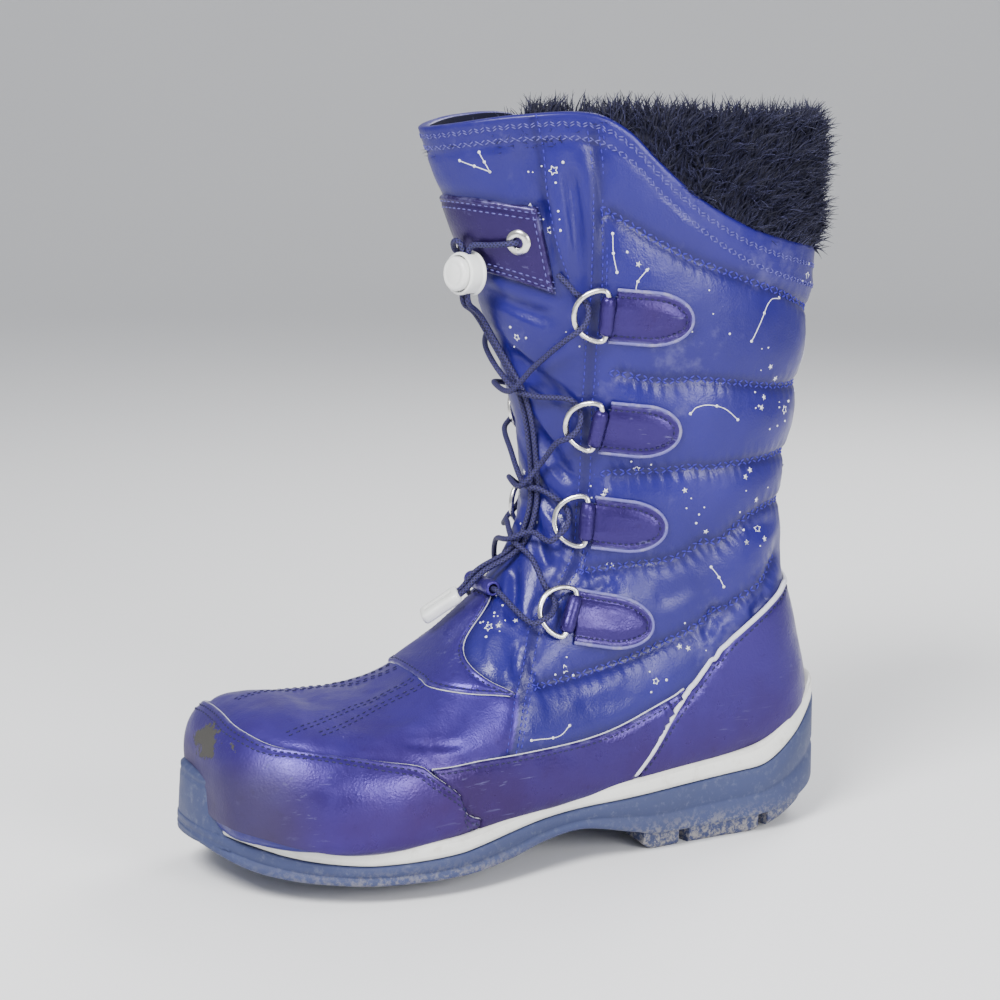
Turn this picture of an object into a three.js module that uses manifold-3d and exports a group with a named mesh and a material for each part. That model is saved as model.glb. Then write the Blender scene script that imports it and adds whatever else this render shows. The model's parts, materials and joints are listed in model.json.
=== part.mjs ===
// A child's quilted snow boot for the left foot, standing empty on its sole.
// Millimetres. The toe points to -Y, the outer (lateral) side is +X and +Z is up.
// The origin is on the floor, under the middle of the sole.
import * as THREE from 'three';
import { mergeVertices } from 'three/addons/utils/BufferGeometryUtils.js';
import Module from 'manifold-3d';

const wasm = await Module();
wasm.setup();

// ---------------------------------------------------------------- driving sizes
const SOLE_LENGTH = 265;
const BALL_WIDTH = 104;
const COLLAR_HEIGHT = 285;
const GAP = 0.3;
const FOOT_WALL = 6;
const SHAFT_WALL = 10;
const FLOOR_WALL = 3;
const COLLAR_WALL = 4;
const FUR_TOP = 291;
const LINING_DEPTH = 1.3;
const OVERLAY = 1.5;
const WIRE_RADIUS = 1.1;
const CORD_RADIUS = 1.1;

// The section table below is drawn for this size, and these ratios carry it to the driving sizes.
const LONG = SOLE_LENGTH / 265;
const WIDE = BALL_WIDTH / 104;
const HIGH = COLLAR_HEIGHT / 285;

// ---------------------------------------------------------------- tables
function table(columns, rows) {
  return rows.map((row) => Object.fromEntries(columns.map((name, i) => [name, row[i]])));
}

// Value of one column at a place along the table's first column, as a smooth curve through the rows.
function along(rows, key, place, column) {
  const last = rows.length - 2;
  let i = rows.findIndex((row) => row[key] > place) - 1;
  if (i < 0) i = place < rows[0][key] ? 0 : last;
  const slope = (k) => {
    const before = rows[Math.max(k - 1, 0)];
    const after = rows[Math.min(k + 1, rows.length - 1)];
    return (after[column] - before[column]) / (after[key] - before[key]);
  };
  const from = rows[i];
  const to = rows[i + 1];
  const span = to[key] - from[key];
  const s = THREE.MathUtils.clamp((place - from[key]) / span, 0, 1);
  const rise = s * s * (3 - 2 * s);
  const start = s * (1 - s) * (1 - s);
  const end = s * s * (1 - s);
  return from[column] * (1 - rise) + to[column] * rise + span * (slope(i) * start - slope(i + 1) * end);
}

// Sections of the upper from the toe tip (0) over the instep to above the collar (22). Each lies in a
// plane that holds the X direction. front is its point on the top ridge or shin, back its point
// under the sole or behind the leg, lateral and medial its half widths, widest the share of the way from
// back to front where it is widest, and the two rounds are the powers of its superellipse halves.
const SECTIONS = table(
  ['at', 'frontY', 'frontZ', 'frontX', 'backY', 'backZ', 'lateral', 'medial', 'widest', 'frontRound', 'backRound'],
  [
    [0, -126.5, 40, -14, -126, 29, 2, 2, 0.5, 2.5, 2.5],
    [1, -125, 51, -14, -124.5, 26, 20, 20, 0.42, 2.5, 3.5],
    [2, -121, 60, -13, -121.5, 24, 29, 29, 0.38, 2.6, 5],
    [3, -113, 65.5, -11, -114, 22.5, 37, 36.5, 0.36, 2.7, 6],
    [4, -100, 67.5, -8, -102, 21, 44.5, 42.5, 0.34, 2.7, 7],
    [5, -85, 66.5, -5, -88, 20, 49, 46.5, 0.33, 2.6, 7],
    [6, -68, 67, -3, -70, 19.5, 51, 48, 0.32, 2.5, 7],
    [7, -51, 71.5, -1, -50, 20, 49.5, 46.5, 0.31, 2.4, 7],
    [8, -36.5, 80, 0, -28, 21.5, 46, 41, 0.31, 2.4, 7],
    [9, -23, 92, 0, 0, 24, 42, 36, 0.3, 2.3, 7],
    [10, -9.5, 105, 0, 32, 26, 38, 34, 0.3, 2.2, 6],
    [11, 0.5, 120, 0, 66, 28.5, 36, 34, 0.32, 2.1, 5],
    [12, 5.5, 135, -1, 98, 31, 35, 34, 0.36, 2.1, 4.3],
    [13, 6.5, 149, -2, 119, 37, 34.5, 33, 0.42, 2.1, 3.6],
    [14, 5.5, 163, -3, 123.5, 54, 35, 33, 0.45, 2, 3],
    [15, 3, 177, -4, 119.5, 77, 36, 33, 0.46, 2, 2.7],
    [16, -1, 192, -5, 113, 104, 38, 34, 0.46, 2, 2.6],
    [17, -6.5, 208, -6, 112.5, 135, 41, 36, 0.46, 1.95, 2.5],
    [18, -12.5, 225, -7, 117, 168, 44, 38, 0.46, 1.9, 2.5],
    [19, -19.5, 244, -8, 122, 205, 46, 40, 0.46, 1.9, 2.5],
    [20, -27, 264, -9, 126, 246, 47, 41, 0.46, 1.9, 2.5],
    [21, -34.5, 285, -10, 129, 290, 48, 42, 0.46, 1.9, 2.5],
    [22, -40, 301, -10, 131, 312, 48, 42, 0.46, 1.9, 2.5],
  ],
);
const LAST = SECTIONS.length - 1;

// The collar's edge in side view: high in front, dipped behind.
const COLLAR = table(['y', 'z'], [
  [-45, 277], [-30, 281], [-10, 284.5], [15, 285], [28, 278.5],
  [41, 266], [55, 254.5], [75, 243.5], [95, 237], [125, 231],
]);

// Heights of the sole's layers from toe to heel: lowest point of the lugs, foot of the side wall,
// foot and top of the white strip.
const LAYERS = table(['y', 'lug', 'wall', 'stripFoot', 'stripTop'], [
  [-132.5, 12, 18.5, 25.5, 33],
  [-118, 8, 12, 21.9, 30.3],
  [-105, 4.4, 9.5, 18.5, 27],
  [-90, 1.8, 8.2, 16.3, 24.4],
  [-76, 0, 7.4, 15.3, 23],
  [-45, 0, 7.2, 16.2, 22.8],
  [-34, 1.5, 7.8, 17.8, 24],
  [-20, 5, 9.8, 20.2, 26],
  [-6, 10, 12.8, 22, 27.5],
  [12, 12.5, 14.4, 23.2, 29.5],
  [34, 7.5, 10, 24.2, 31.4],
  [46, 0, 7.5, 24.9, 32.4],
  [85, 0, 7.5, 27.7, 36.1],
  [97, 0.8, 8.3, 29.5, 39.4],
  [112, 4.5, 11, 38.5, 50],
  [122, 7, 13.4, 47, 56],
  [132.5, 10.5, 17, 53, 59.5],
]);

// ---------------------------------------------------------------- the upper's surface
function section(at) {
  const t = THREE.MathUtils.clamp(at, 0, LAST);
  return Object.fromEntries(Object.keys(SECTIONS[0]).map((name) => [name, along(SECTIONS, 'at', t, name)]));
}

function superellipse(angle, round) {
  const c = Math.cos(angle);
  const s = Math.sin(angle);
  return {
    back: Math.sign(c) * Math.abs(c) ** (2 / round),
    out: Math.sign(s) * Math.abs(s) ** (2 / round),
  };
}

// A point of the upper at section `at` and `degrees` around it (0 behind, 90 lateral, 180 in front),
// moved in from each side by the given walls.
function sectionPoint(at, degrees, walls = { side: 0, front: 0, back: 0 }) {
  const r = section(at);
  const angle = THREE.MathUtils.degToRad(degrees);
  const e = superellipse(angle, Math.cos(angle) > 0 ? r.backRound : r.frontRound);
  const depth = Math.hypot(r.frontY - r.backY, r.frontZ - r.backZ);
  const low = walls.back / depth;
  const high = 1 - walls.front / depth;
  const share = e.back > 0 ? r.widest - e.back * (r.widest - low) : r.widest - e.back * (high - r.widest);
  const half = (e.out > 0 ? r.lateral : r.medial) - walls.side;
  return new THREE.Vector3(
    (r.frontX * share * share + half * e.out) * WIDE,
    (r.backY + (r.frontY - r.backY) * share) * LONG,
    (r.backZ + (r.frontZ - r.backZ) * share) * HIGH,
  );
}

function skinNormal(at, degrees) {
  const step = 0.01;
  const up = sectionPoint(at + step, degrees).sub(sectionPoint(at - step, degrees));
  const round = sectionPoint(at, degrees + 1).sub(sectionPoint(at, degrees - 1));
  return up.cross(round).normalize();
}

function skin(at, degrees, lift = 0) {
  return sectionPoint(at, degrees).addScaledVector(skinNormal(at, degrees), lift);
}

// The section and angle of the point of the skin that side view shows at (y, z).
function placeAt(y, z, side) {
  let low = 0;
  let high = LAST;
  const offLine = (t) => {
    const r = section(t);
    return (r.frontY - r.backY) * (z - r.backZ) - (r.frontZ - r.backZ) * (y - r.backY);
  };
  const sign = Math.sign(offLine(low));
  for (let i = 0; i < 40; i += 1) {
    const middle = (low + high) / 2;
    if (Math.sign(offLine(middle)) === sign) low = middle;
    else high = middle;
  }
  const r = section(low);
  const dy = r.frontY - r.backY;
  const dz = r.frontZ - r.backZ;
  const share = ((y - r.backY) * dy + (z - r.backZ) * dz) / (dy * dy + dz * dz);
  const behind = share < r.widest;
  const reach = behind ? (r.widest - share) / r.widest : (share - r.widest) / (1 - r.widest);
  const round = behind ? r.backRound : r.frontRound;
  const c = Math.min(Math.abs(reach), 1) ** (round / 2) * (behind ? 1 : -1);
  return { at: low, degrees: THREE.MathUtils.radToDeg(Math.acos(c)) * side };
}

function sidePoint(y, z, side, lift) {
  const place = placeAt(y, z, side);
  return skin(place.at, place.degrees, lift);
}

// The section at which the skin reaches a height given as a function of y.
function sectionReaching(degrees, heightAt) {
  let low = 15;
  let high = LAST;
  for (let i = 0; i < 40; i += 1) {
    const middle = (low + high) / 2;
    const p = sectionPoint(middle, degrees);
    if (p.z < heightAt(p.y)) low = middle;
    else high = middle;
  }
  return low;
}

const collarSection = (degrees) => sectionReaching(degrees, (y) => along(COLLAR, 'y', y, 'z') * HIGH);

// ---------------------------------------------------------------- meshes and solids
const SLIVER = 0.05;
const COARSE = 0.14;

function geometryOf(points, faces) {
  const geometry = new THREE.BufferGeometry();
  geometry.setAttribute('position', new THREE.Float32BufferAttribute(points.flatMap((p) => p.toArray()), 3));
  geometry.setIndex(faces.flat());
  return geometry;
}

function solidOf(geometry) {
  const bare = geometry.clone();
  bare.deleteAttribute('normal');
  bare.deleteAttribute('uv');
  const merged = mergeVertices(bare, 1e-4);
  return new wasm.Manifold(new wasm.Mesh({
    numProp: 3,
    vertProperties: new Float32Array(merged.attributes.position.array),
    triVerts: new Uint32Array(merged.index.array),
  }));
}

// Geometry of a joined or cut solid, without the slivers its cuts leave.
function geometryFrom(solid, tolerance = SLIVER) {
  const mesh = solid.simplify(tolerance).getMesh();
  const geometry = new THREE.BufferGeometry();
  geometry.setAttribute('position', new THREE.BufferAttribute(mesh.vertProperties, 3));
  geometry.setIndex(new THREE.BufferAttribute(mesh.triVerts, 1));
  return geometry;
}

// A closed solid through rings of points, each ring running the same way round. Its ends are closed
// by a fan to the ring's middle, or left to meet when the rings themselves come back to the first.
function ringSolid(rings, closed = false) {
  const count = rings[0].length;
  const points = rings.flat();
  const faces = [];
  const spans = closed ? rings.length : rings.length - 1;
  for (let i = 0; i < spans; i += 1) {
    const next = ((i + 1) % rings.length) * count;
    for (let j = 0; j < count; j += 1) {
      const k = (j + 1) % count;
      faces.push([i * count + j, i * count + k, next + k], [i * count + j, next + k, next + j]);
    }
  }
  if (!closed) {
    for (const [ring, start, flip] of [[rings[0], 0, true], [rings.at(-1), points.length - count, false]]) {
      const middle = ring.reduce((sum, p) => sum.add(p), new THREE.Vector3()).divideScalar(count);
      points.push(middle);
      for (let j = 0; j < count; j += 1) {
        const k = (j + 1) % count;
        const face = [start + j, start + k, points.length - 1];
        faces.push(flip ? face.reverse() : face);
      }
    }
  }
  return geometryOf(points, faces);
}

// A sheet with thickness: point(u, v, lift) for u and v from 0 to 1, between two lifts.
function sheetSolid(columns, rows, point, low, high) {
  const rings = [];
  for (let i = 0; i <= columns; i += 1) {
    const ring = [];
    for (let j = 0; j <= rows; j += 1) ring.push(point(i / columns, j / rows, low));
    for (let j = rows; j >= 0; j -= 1) ring.push(point(i / columns, j / rows, high));
    rings.push(ring);
  }
  const count = rings[0].length;
  const points = rings.flat();
  const faces = [];
  for (let i = 0; i < columns; i += 1) {
    for (let j = 0; j < count; j += 1) {
      const k = (j + 1) % count;
      faces.push([i * count + j, i * count + k, (i + 1) * count + k]);
      faces.push([i * count + j, (i + 1) * count + k, (i + 1) * count + j]);
    }
  }
  for (let j = 0; j < rows; j += 1) {
    const across = count - 1 - j;
    const end = columns * count;
    faces.push([j + 1, j, across], [j + 1, across, across - 1]);
    faces.push([end + j, end + j + 1, end + across], [end + j + 1, end + across - 1, end + across]);
  }
  return outward(geometryOf(points, faces));
}

// Turns every face over when the solid's faces point in.
function outward(geometry) {
  const p = geometry.attributes.position;
  const index = Array.from(geometry.index.array);
  const corner = (i) => new THREE.Vector3().fromBufferAttribute(p, i);
  let volume = 0;
  for (let i = 0; i < index.length; i += 3) {
    volume += corner(index[i]).dot(corner(index[i + 1]).cross(corner(index[i + 2])));
  }
  if (volume < 0) {
    for (let i = 0; i < index.length; i += 3) index.splice(i, 3, index[i + 2], index[i + 1], index[i]);
    geometry.setIndex(index);
  }
  return geometry;
}

function tube(points, radius, steps, sides = 8) {
  const circle = new THREE.Shape();
  for (let i = 0; i < sides; i += 1) {
    const angle = (2 * Math.PI * i) / sides;
    circle[i ? 'lineTo' : 'moveTo'](radius * Math.cos(angle), radius * Math.sin(angle));
  }
  circle.closePath();
  const path = new THREE.CatmullRomCurve3(points, false, 'centripetal');
  return new THREE.ExtrudeGeometry(circle, { steps, extrudePath: path, bevelEnabled: false });
}

function mesh(name, geometry, colour, roughness, metalness = 0) {
  const material = new THREE.MeshStandardMaterial({ color: colour, roughness, metalness });
  const bare = geometry.clone();
  bare.deleteAttribute('uv');
  bare.deleteAttribute('normal');
  const shape = mergeVertices(bare, 1e-4);
  shape.computeVertexNormals();
  const made = new THREE.Mesh(shape, material);
  made.name = name;
  return made;
}

// ---------------------------------------------------------------- the upper: one hollow shell
const AROUND = 32;
const SHAFT_ROWS = 7;
const OUTER_ROWS = [0, 0.3, 0.8, 1.5, 2.3, 3.4, 4.8, 6.2, 7.5, 8.7, 9.8, 10.9, 12, 13, 14, 15];
const INNER_ROWS = [0.3, 0.9, 1.7, 3, 4.5, 6, 7.5, 9, 10.5, 12, 13.5, 15];
const ANGLES = Array.from({ length: AROUND }, (_, i) => (360 * i) / AROUND);

// The wall grows from the foot's to the shaft's around the ankle, and its tip moves back at the toe.
function innerPoint(at, degrees, extra = 0) {
  const shaft = THREE.MathUtils.smoothstep(at, 10, 15);
  const heel = THREE.MathUtils.smoothstep(at, 12.5, 14.5);
  const nose = Math.max(0, 1 - at / 5);
  const side = THREE.MathUtils.lerp(FOOT_WALL, SHAFT_WALL, shaft) * (1 - nose) + extra;
  const back = THREE.MathUtils.lerp(FLOOR_WALL, SHAFT_WALL, heel) * (1 - nose) + extra;
  const p = sectionPoint(at, degrees, { side, front: side, back });
  p.y += FOOT_WALL * nose;
  return p;
}

const evenWalls = (wall) => ({ side: wall, front: wall, back: wall });

// Rows of the shaft between a fixed section and one that depends on the angle.
function shaftRings(from, toAt, count, point) {
  return Array.from({ length: count }, (_, i) => ANGLES.map((degrees) => {
    const at = THREE.MathUtils.lerp(from, toAt(degrees), (i + 1) / count);
    return point(at, degrees);
  }));
}

const collarAt = ANGLES.map(collarSection);
const collarOf = (degrees) => collarAt[Math.round((degrees / 360) * AROUND) % AROUND];
const liningFoot = (degrees) => collarOf(degrees) - LINING_DEPTH;

function upperShell() {
  const outer = [
    ...OUTER_ROWS.map((at) => ANGLES.map((degrees) => sectionPoint(at, degrees))),
    ...shaftRings(OUTER_ROWS.at(-1), collarOf, SHAFT_ROWS, (at, degrees) => sectionPoint(at, degrees)),
  ];
  const inner = [
    ...INNER_ROWS.map((at) => ANGLES.map((degrees) => innerPoint(at, degrees))),
    ...shaftRings(INNER_ROWS.at(-1), liningFoot, 4, (at, degrees) => innerPoint(at, degrees)),
    ANGLES.map((degrees) => sectionPoint(liningFoot(degrees), degrees, evenWalls(COLLAR_WALL))),
    ANGLES.map((degrees) => sectionPoint(collarOf(degrees), degrees, evenWalls(COLLAR_WALL))),
  ];
  return outward(ringSolid([...outer, ...inner.reverse()]));
}

// The upper's outer form as a filled solid, grown by `side` round its sides and by `floor` under the foot.
function upperForm(side, floor) {
  const grown = (at, degrees) => {
    const back = THREE.MathUtils.lerp(floor, side, THREE.MathUtils.smoothstep(at, 12, 13.5));
    const ahead = new THREE.Vector3(0, -side * Math.max(0, 1 - at / 5), 0);
    return sectionPoint(at, degrees, { side: -side, front: -side, back: -back }).add(ahead);
  };
  const rings = OUTER_ROWS.map((at) => ANGLES.map((degrees) => grown(at, degrees)));
  const shaft = shaftRings(OUTER_ROWS.at(-1), collarOf, SHAFT_ROWS, grown).slice(0, 3);
  return solidOf(outward(ringSolid([...rings, ...shaft])));
}

// Plush lining ring inside the collar, standing above the collar's dipped back.
function furCuff() {
  const rings = ANGLES.map((degrees) => {
    const collar = collarOf(degrees);
    const fur = sectionReaching(degrees, () => FUR_TOP);
    const top = Math.max(collar - 0.15, fur);
    const foot = liningFoot(degrees) + 0.04;
    const bulge = THREE.MathUtils.smoothstep(top - collar, 0.1, 0.7);
    const inside = COLLAR_WALL + 1.5 * GAP;
    const outside = THREE.MathUtils.lerp(inside, 0.3, bulge);
    const shelf = Math.min(collar + 0.03, top - 0.06);
    const profile = [
      [foot, inside],
      [Math.min(collar, shelf - 0.02), inside],
      [shelf, outside],
      [THREE.MathUtils.lerp(shelf, top, 0.7), outside],
      [top, outside + 2.5],
      [top, SHAFT_WALL - 1.5],
      [THREE.MathUtils.lerp(shelf, top, 0.6), SHAFT_WALL],
      [foot, SHAFT_WALL],
    ];
    return profile.map(([at, wall]) => sectionPoint(at, degrees, evenWalls(wall)));
  });
  return outward(ringSolid(rings, true));
}

// ---------------------------------------------------------------- the sole
const TIP = { x: -14, y: -132.5 };
const HEEL_Y = 132.5;
const OUTLINE = {
  lateral: { ballY: -54, ball: 52, waistY: 18, waist: 40, heelY: 84, heel: 36, toeRound: 2.05 },
  medial: { ballY: -64, ball: 52, waistY: 22, waist: 35, heelY: 84, heel: 35, toeRound: 2.15 },
};
const HEEL_ROUND = 2.3;
const OUTLINE_STEPS = 22;

const archOf = (q, round) => (1 - Math.min(q, 1) ** round) ** (1 / round);
const ease = (s) => (1 - Math.cos(Math.PI * s)) / 2;

// Half width of the sole at y on one side, from the line x = 0.
function soleEdge(y, side) {
  const o = side > 0 ? OUTLINE.lateral : OUTLINE.medial;
  if (y < o.ballY) {
    return side * TIP.x + (o.ball - side * TIP.x) * archOf((o.ballY - y) / (o.ballY - TIP.y), o.toeRound);
  }
  if (y > o.heelY) return o.heel * archOf((y - o.heelY) / (HEEL_Y - o.heelY), HEEL_ROUND);
  if (y < o.waistY) return THREE.MathUtils.lerp(o.ball, o.waist, ease((y - o.ballY) / (o.waistY - o.ballY)));
  return THREE.MathUtils.lerp(o.waist, o.heel, ease((y - o.waistY) / (o.heelY - o.waistY)));
}

// Even steps along the middle of the sole, packed close at its two round ends.
const packedEnds = (s) => s - (s < 0.25 || s > 0.75 ? Math.sin(4 * Math.PI * s) / (4.6 * Math.PI) : 0);

// Closed outline from the toe tip along the lateral side, round the heel and back, moved in by `inset`.
function outline(inset) {
  const places = Array.from({ length: OUTLINE_STEPS + 1 }, (_, i) => (
    THREE.MathUtils.lerp(TIP.y, HEEL_Y, packedEnds(i / OUTLINE_STEPS))));
  const lateral = places.map((y) => new THREE.Vector2(soleEdge(y, 1), y));
  const medial = places.slice(1, -1).reverse().map((y) => new THREE.Vector2(-soleEdge(y, -1), y));
  const loop = [...lateral, ...medial];
  return loop.map((p, i) => {
    const before = loop.at(i - 1);
    const after = loop[(i + 1) % loop.length];
    const run = after.clone().sub(before).normalize();
    return new THREE.Vector2(p.x - run.y * inset, p.y + run.x * inset);
  });
}

const layer = (name, y) => along(LAYERS, 'y', y / LONG, name);
const lugFloor = (y) => Math.max(0, layer('lug', y));

// One ring of a sole solid: the outline at an inset, at heights given by the place along the sole.
function soleRing(inset, heightAt) {
  return outline(inset).map((p) => new THREE.Vector3(p.x * WIDE, p.y * LONG, heightAt(p.y * LONG)));
}

// Closed solid through sole rings, its ends closed by strips from the lateral to the medial side.
function soleSolid(rings) {
  const count = rings[0].length;
  const points = rings.flat();
  const faces = [];
  for (let i = 0; i < rings.length - 1; i += 1) {
    for (let j = 0; j < count; j += 1) {
      const k = (j + 1) % count;
      faces.push([i * count + j, i * count + k, (i + 1) * count + k]);
      faces.push([i * count + j, (i + 1) * count + k, (i + 1) * count + j]);
    }
  }
  for (const [start, flip] of [[0, true], [points.length - count, false]]) {
    for (let j = 0; j < OUTLINE_STEPS; j += 1) {
      const a = start + j;
      const b = start + j + 1;
      const c = start + ((count - j - 1) % count);
      const d = start + ((count - j) % count);
      const pair = [[a, b, c], [a, c, d]].filter((face) => new Set(face).size === 3);
      for (const face of pair) faces.push(flip ? face.reverse() : face);
    }
  }
  return outward(geometryOf(points, faces));
}

const CUP_START = 97;
const stripFoot = (y) => layer('stripFoot', y);
const stripTop = (y) => layer('stripTop', y);
// The floor under the foot stays level where the heel cup's rim climbs.
const cupFloor = (y) => Math.min(stripFoot(y), y > 0 ? stripFoot(CUP_START) : Infinity);

function box(from, to) {
  const size = to.map((v, i) => v - from[i]);
  const made = new THREE.BoxGeometry(...size);
  return made.translate(...from.map((v, i) => v + size[i] / 2));
}

// Lugs: the tread under the wall, divided by slanting grooves and one along the middle.
const TREAD_INSET = 4.5;
const CROSS_GROOVES = [-117, -97, -66, -43, 53, 91];
const GROOVE_WIDTH = 5;
const GROOVE_SLANT = 12;
const ARCH_BARE = { from: -27, to: 41 };
const MIDDLE_GROOVE = { width: 7, from: -110, to: 112 };

function tread() {
  let lugs = solidOf(soleSolid([
    soleRing(TREAD_INSET + 1, lugFloor),
    soleRing(TREAD_INSET, (y) => lugFloor(y) + 1.5),
    soleRing(TREAD_INSET, (y) => layer('wall', y) + 1.5),
  ]));
  const deep = 30;
  for (const y of CROSS_GROOVES) {
    for (const side of [1, -1]) {
      const cut = box([0, -GROOVE_WIDTH / 2, -1], [80, GROOVE_WIDTH / 2, layer('wall', y) + 0.2]);
      cut.rotateZ(THREE.MathUtils.degToRad(side > 0 ? GROOVE_SLANT : 180 - GROOVE_SLANT)).translate(0, y, 0);
      lugs = lugs.subtract(solidOf(cut));
    }
  }
  const half = MIDDLE_GROOVE.width / 2;
  for (const [from, to, x] of [[MIDDLE_GROOVE.from, ARCH_BARE.from, -3], [ARCH_BARE.to, MIDDLE_GROOVE.to, 0]]) {
    const height = Math.max(layer('wall', from), layer('wall', to));
    lugs = lugs.subtract(solidOf(box([x - half, from, -1], [x + half, to, height * 0.6])));
  }
  return lugs.subtract(solidOf(box([-80, ARCH_BARE.from, -1], [80, ARCH_BARE.to, deep])));
}

// Rubber bumper that rises over the toe, a band wrapped round the tip.
const BUMPER = { thick: 4, foot: 26, top: 44, halfFoot: 35, halfTop: 24, lean: 1.8 };

function bumper(grow) {
  const at = (u, v, lift) => {
    const half = THREE.MathUtils.lerp(BUMPER.halfFoot, BUMPER.halfTop, v) + grow;
    const out = (u * 2 - 1) * half;
    const loop = outline(0.2 + BUMPER.lean * v);
    const path = new THREE.SplineCurve([...loop.slice(-14), ...loop.slice(0, 15)]);
    const middle = path.getPoints(400);
    const lengths = middle.map((p, i) => (i ? p.distanceTo(middle[i - 1]) : 0));
    let run = -lengths.slice(0, 201).reduce((a, b) => a + b, 0);
    let k = 0;
    while (k < 399 && run < out) {
      k += 1;
      run += lengths[k];
    }
    const tangent = middle[k].clone().sub(middle[k - 1]).normalize();
    const p = new THREE.Vector2(tangent.y, -tangent.x).multiplyScalar(lift).add(middle[k]);
    const z = THREE.MathUtils.lerp(BUMPER.foot - 8, BUMPER.top + grow, v);
    return new THREE.Vector3(p.x * WIDE, p.y * LONG, z);
  };
  return solidOf(sheetSolid(16, 3, at, -BUMPER.thick - grow, grow ? 6 : 0));
}

function outsoleBody() {
  return soleSolid([
    soleRing(TREAD_INSET, (y) => layer('wall', y)),
    soleRing(0.6, (y) => layer('wall', y) + 0.3),
    soleRing(0, (y) => layer('wall', y) + 1.2),
    soleRing(0.4, (y) => stripFoot(y) - GAP),
    soleRing(5, (y) => stripFoot(y) - GAP),
    soleRing(6.4, (y) => cupFloor(y) - GAP),
  ]);
}

function outsole(form) {
  return geometryFrom(solidOf(outsoleBody()).add(tread()).add(bumper(0)).subtract(form));
}

// The midsole lies in the outsole, a gap above it, and takes the upper's form in its top.
function midsole(form) {
  const below = 2;
  const blank = solidOf(soleSolid([
    soleRing(7, (y) => cupFloor(y) - below),
    soleRing(5.4, (y) => stripFoot(y) - below),
    soleRing(0.9, (y) => stripFoot(y) - below),
    soleRing(0.7, (y) => stripFoot(y) + 1),
    soleRing(1.2, (y) => stripTop(y) - 1),
    soleRing(1.9, stripTop),
  ]));
  const raised = outsoleBody().translate(0, 0, 1.5 * GAP);
  return geometryFrom(blank.subtract(solidOf(raised)).subtract(form).subtract(bumper(GAP)));
}

// Insole: the layer of the foot's hollow that lies on its floor.
const INSOLE_THICK = 4;
const INSOLE_ROWS = [0.7, 1.3, 2.1, 3.2, 4.5, 6, 7.5, 9, 10.5, 11.5, 12.3, 12.8];
const INSOLE_REACH = 80;

function insole() {
  const hollow = solidOf(outward(ringSolid(INNER_ROWS.map((at) => (
    ANGLES.map((degrees) => innerPoint(at, degrees, GAP)))))));
  const last = INSOLE_ROWS.length - 1;
  const layerPoint = (u, v, lift) => {
    const floor = innerPoint(INSOLE_ROWS[Math.round(u * last)], 0);
    return new THREE.Vector3((v * 2 - 1) * INSOLE_REACH, floor.y, floor.z + lift);
  };
  return geometryFrom(hollow.intersect(solidOf(sheetSolid(last, 1, layerPoint, -2, GAP + INSOLE_THICK))));
}

// ---------------------------------------------------------------- overlays on the upper
const STRIP_TUCK = 1.5;
const SHEET_REACH = 4;

// The angle at which the skin of a section dips just below the top of the sole's white strip.
function stripAngle(at) {
  let low = 0;
  let high = 90;
  for (let i = 0; i < 30; i += 1) {
    const middle = (low + high) / 2;
    const p = sectionPoint(at, middle);
    if (p.z < stripTop(p.y) - STRIP_TUCK) low = middle;
    else high = middle;
  }
  return high;
}

// Overlays are cut between these two forms, so that they lie evenly on the upper.
const under = upperForm(GAP, GAP);
const over = upperForm(GAP + OVERLAY, 0);

// A thick sheet through the upper's skin between a lower and an upper seam, each a list of
// [section, degrees] in step with the other.
function seamSheet(lower, upper, rows) {
  const last = lower.length - 1;
  const point = (u, v, lift) => {
    const k = Math.round(u * last);
    const at = THREE.MathUtils.lerp(lower[k][0], upper[k][0], v);
    return skin(at, THREE.MathUtils.lerp(lower[k][1], upper[k][1], v), lift);
  };
  return solidOf(sheetSolid(last, rows, point, -SHEET_REACH, SHEET_REACH));
}

const overlay = (sheet) => over.intersect(sheet).subtract(under);

// A seam drawn on the lateral side, carried on over the middle at `axis` degrees to the medial side.
function bothSides(seam, axis) {
  const mirrored = seam.slice(1).map(([at, degrees]) => [at, 2 * axis - degrees]);
  return [...seam.slice().reverse(), ...mirrored];
}

const CAP_SEAM = [
  [2.6, 180], [2.64, 157], [2.96, 141], [3.44, 130], [4.16, 125.5], [4.96, 124],
  [5.74, 120], [6.5, 113], [6.84, 104], [7.34, 91], [7.75, 80],
];
const CAP_FOOT = [0.05, 0.05, 0.05, 0.3, 1.4, 2.7, 4, 5.2, 6.2, 7.1, 7.6];
const CAP_FOOT_TURN = [180, 140, 105];

// The cap's and the counter's sheets, widened where a neighbour is cut back from them.
function capSheet(wider = 0) {
  const foot = CAP_FOOT.map((at, i) => [at + wider, CAP_FOOT_TURN[i] ?? stripAngle(at)]);
  const seam = CAP_SEAM.map(([at, degrees]) => [at + wider, degrees]);
  return seamSheet(bothSides(foot, 180), bothSides(seam, 180), 4);
}

const COUNTER_SEAM = [
  [16.05, 0], [15.54, 42], [14.82, 65], [13.8, 83], [12.84, 90], [12.04, 91],
  [11.48, 90], [10.96, 89], [10.54, 80], [10.2, 68],
];
const COUNTER_FOOT = [14.15, 13.9, 13.5, 13, 12.5, 12, 11.5, 11, 10.5, 10.1];

function counterSheet(wider = 0) {
  const foot = COUNTER_FOOT.map((at, i) => [at - wider, i ? stripAngle(at) : 0]);
  const seam = COUNTER_SEAM.map(([at, degrees]) => [at - wider, degrees]);
  return seamSheet(bothSides(foot, 0), bothSides(seam, 0), 2);
}

const NEIGHBOUR_GAP = 0.04;
const BAND_SEAM = [[7, 107], [7.68, 103], [8.52, 97], [9.32, 93], [10.1, 91], [10.8, 90.5]];
const BAND_FOOT = [7.95, 8.3, 8.7, 9.1, 9.5, 9.85];

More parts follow.
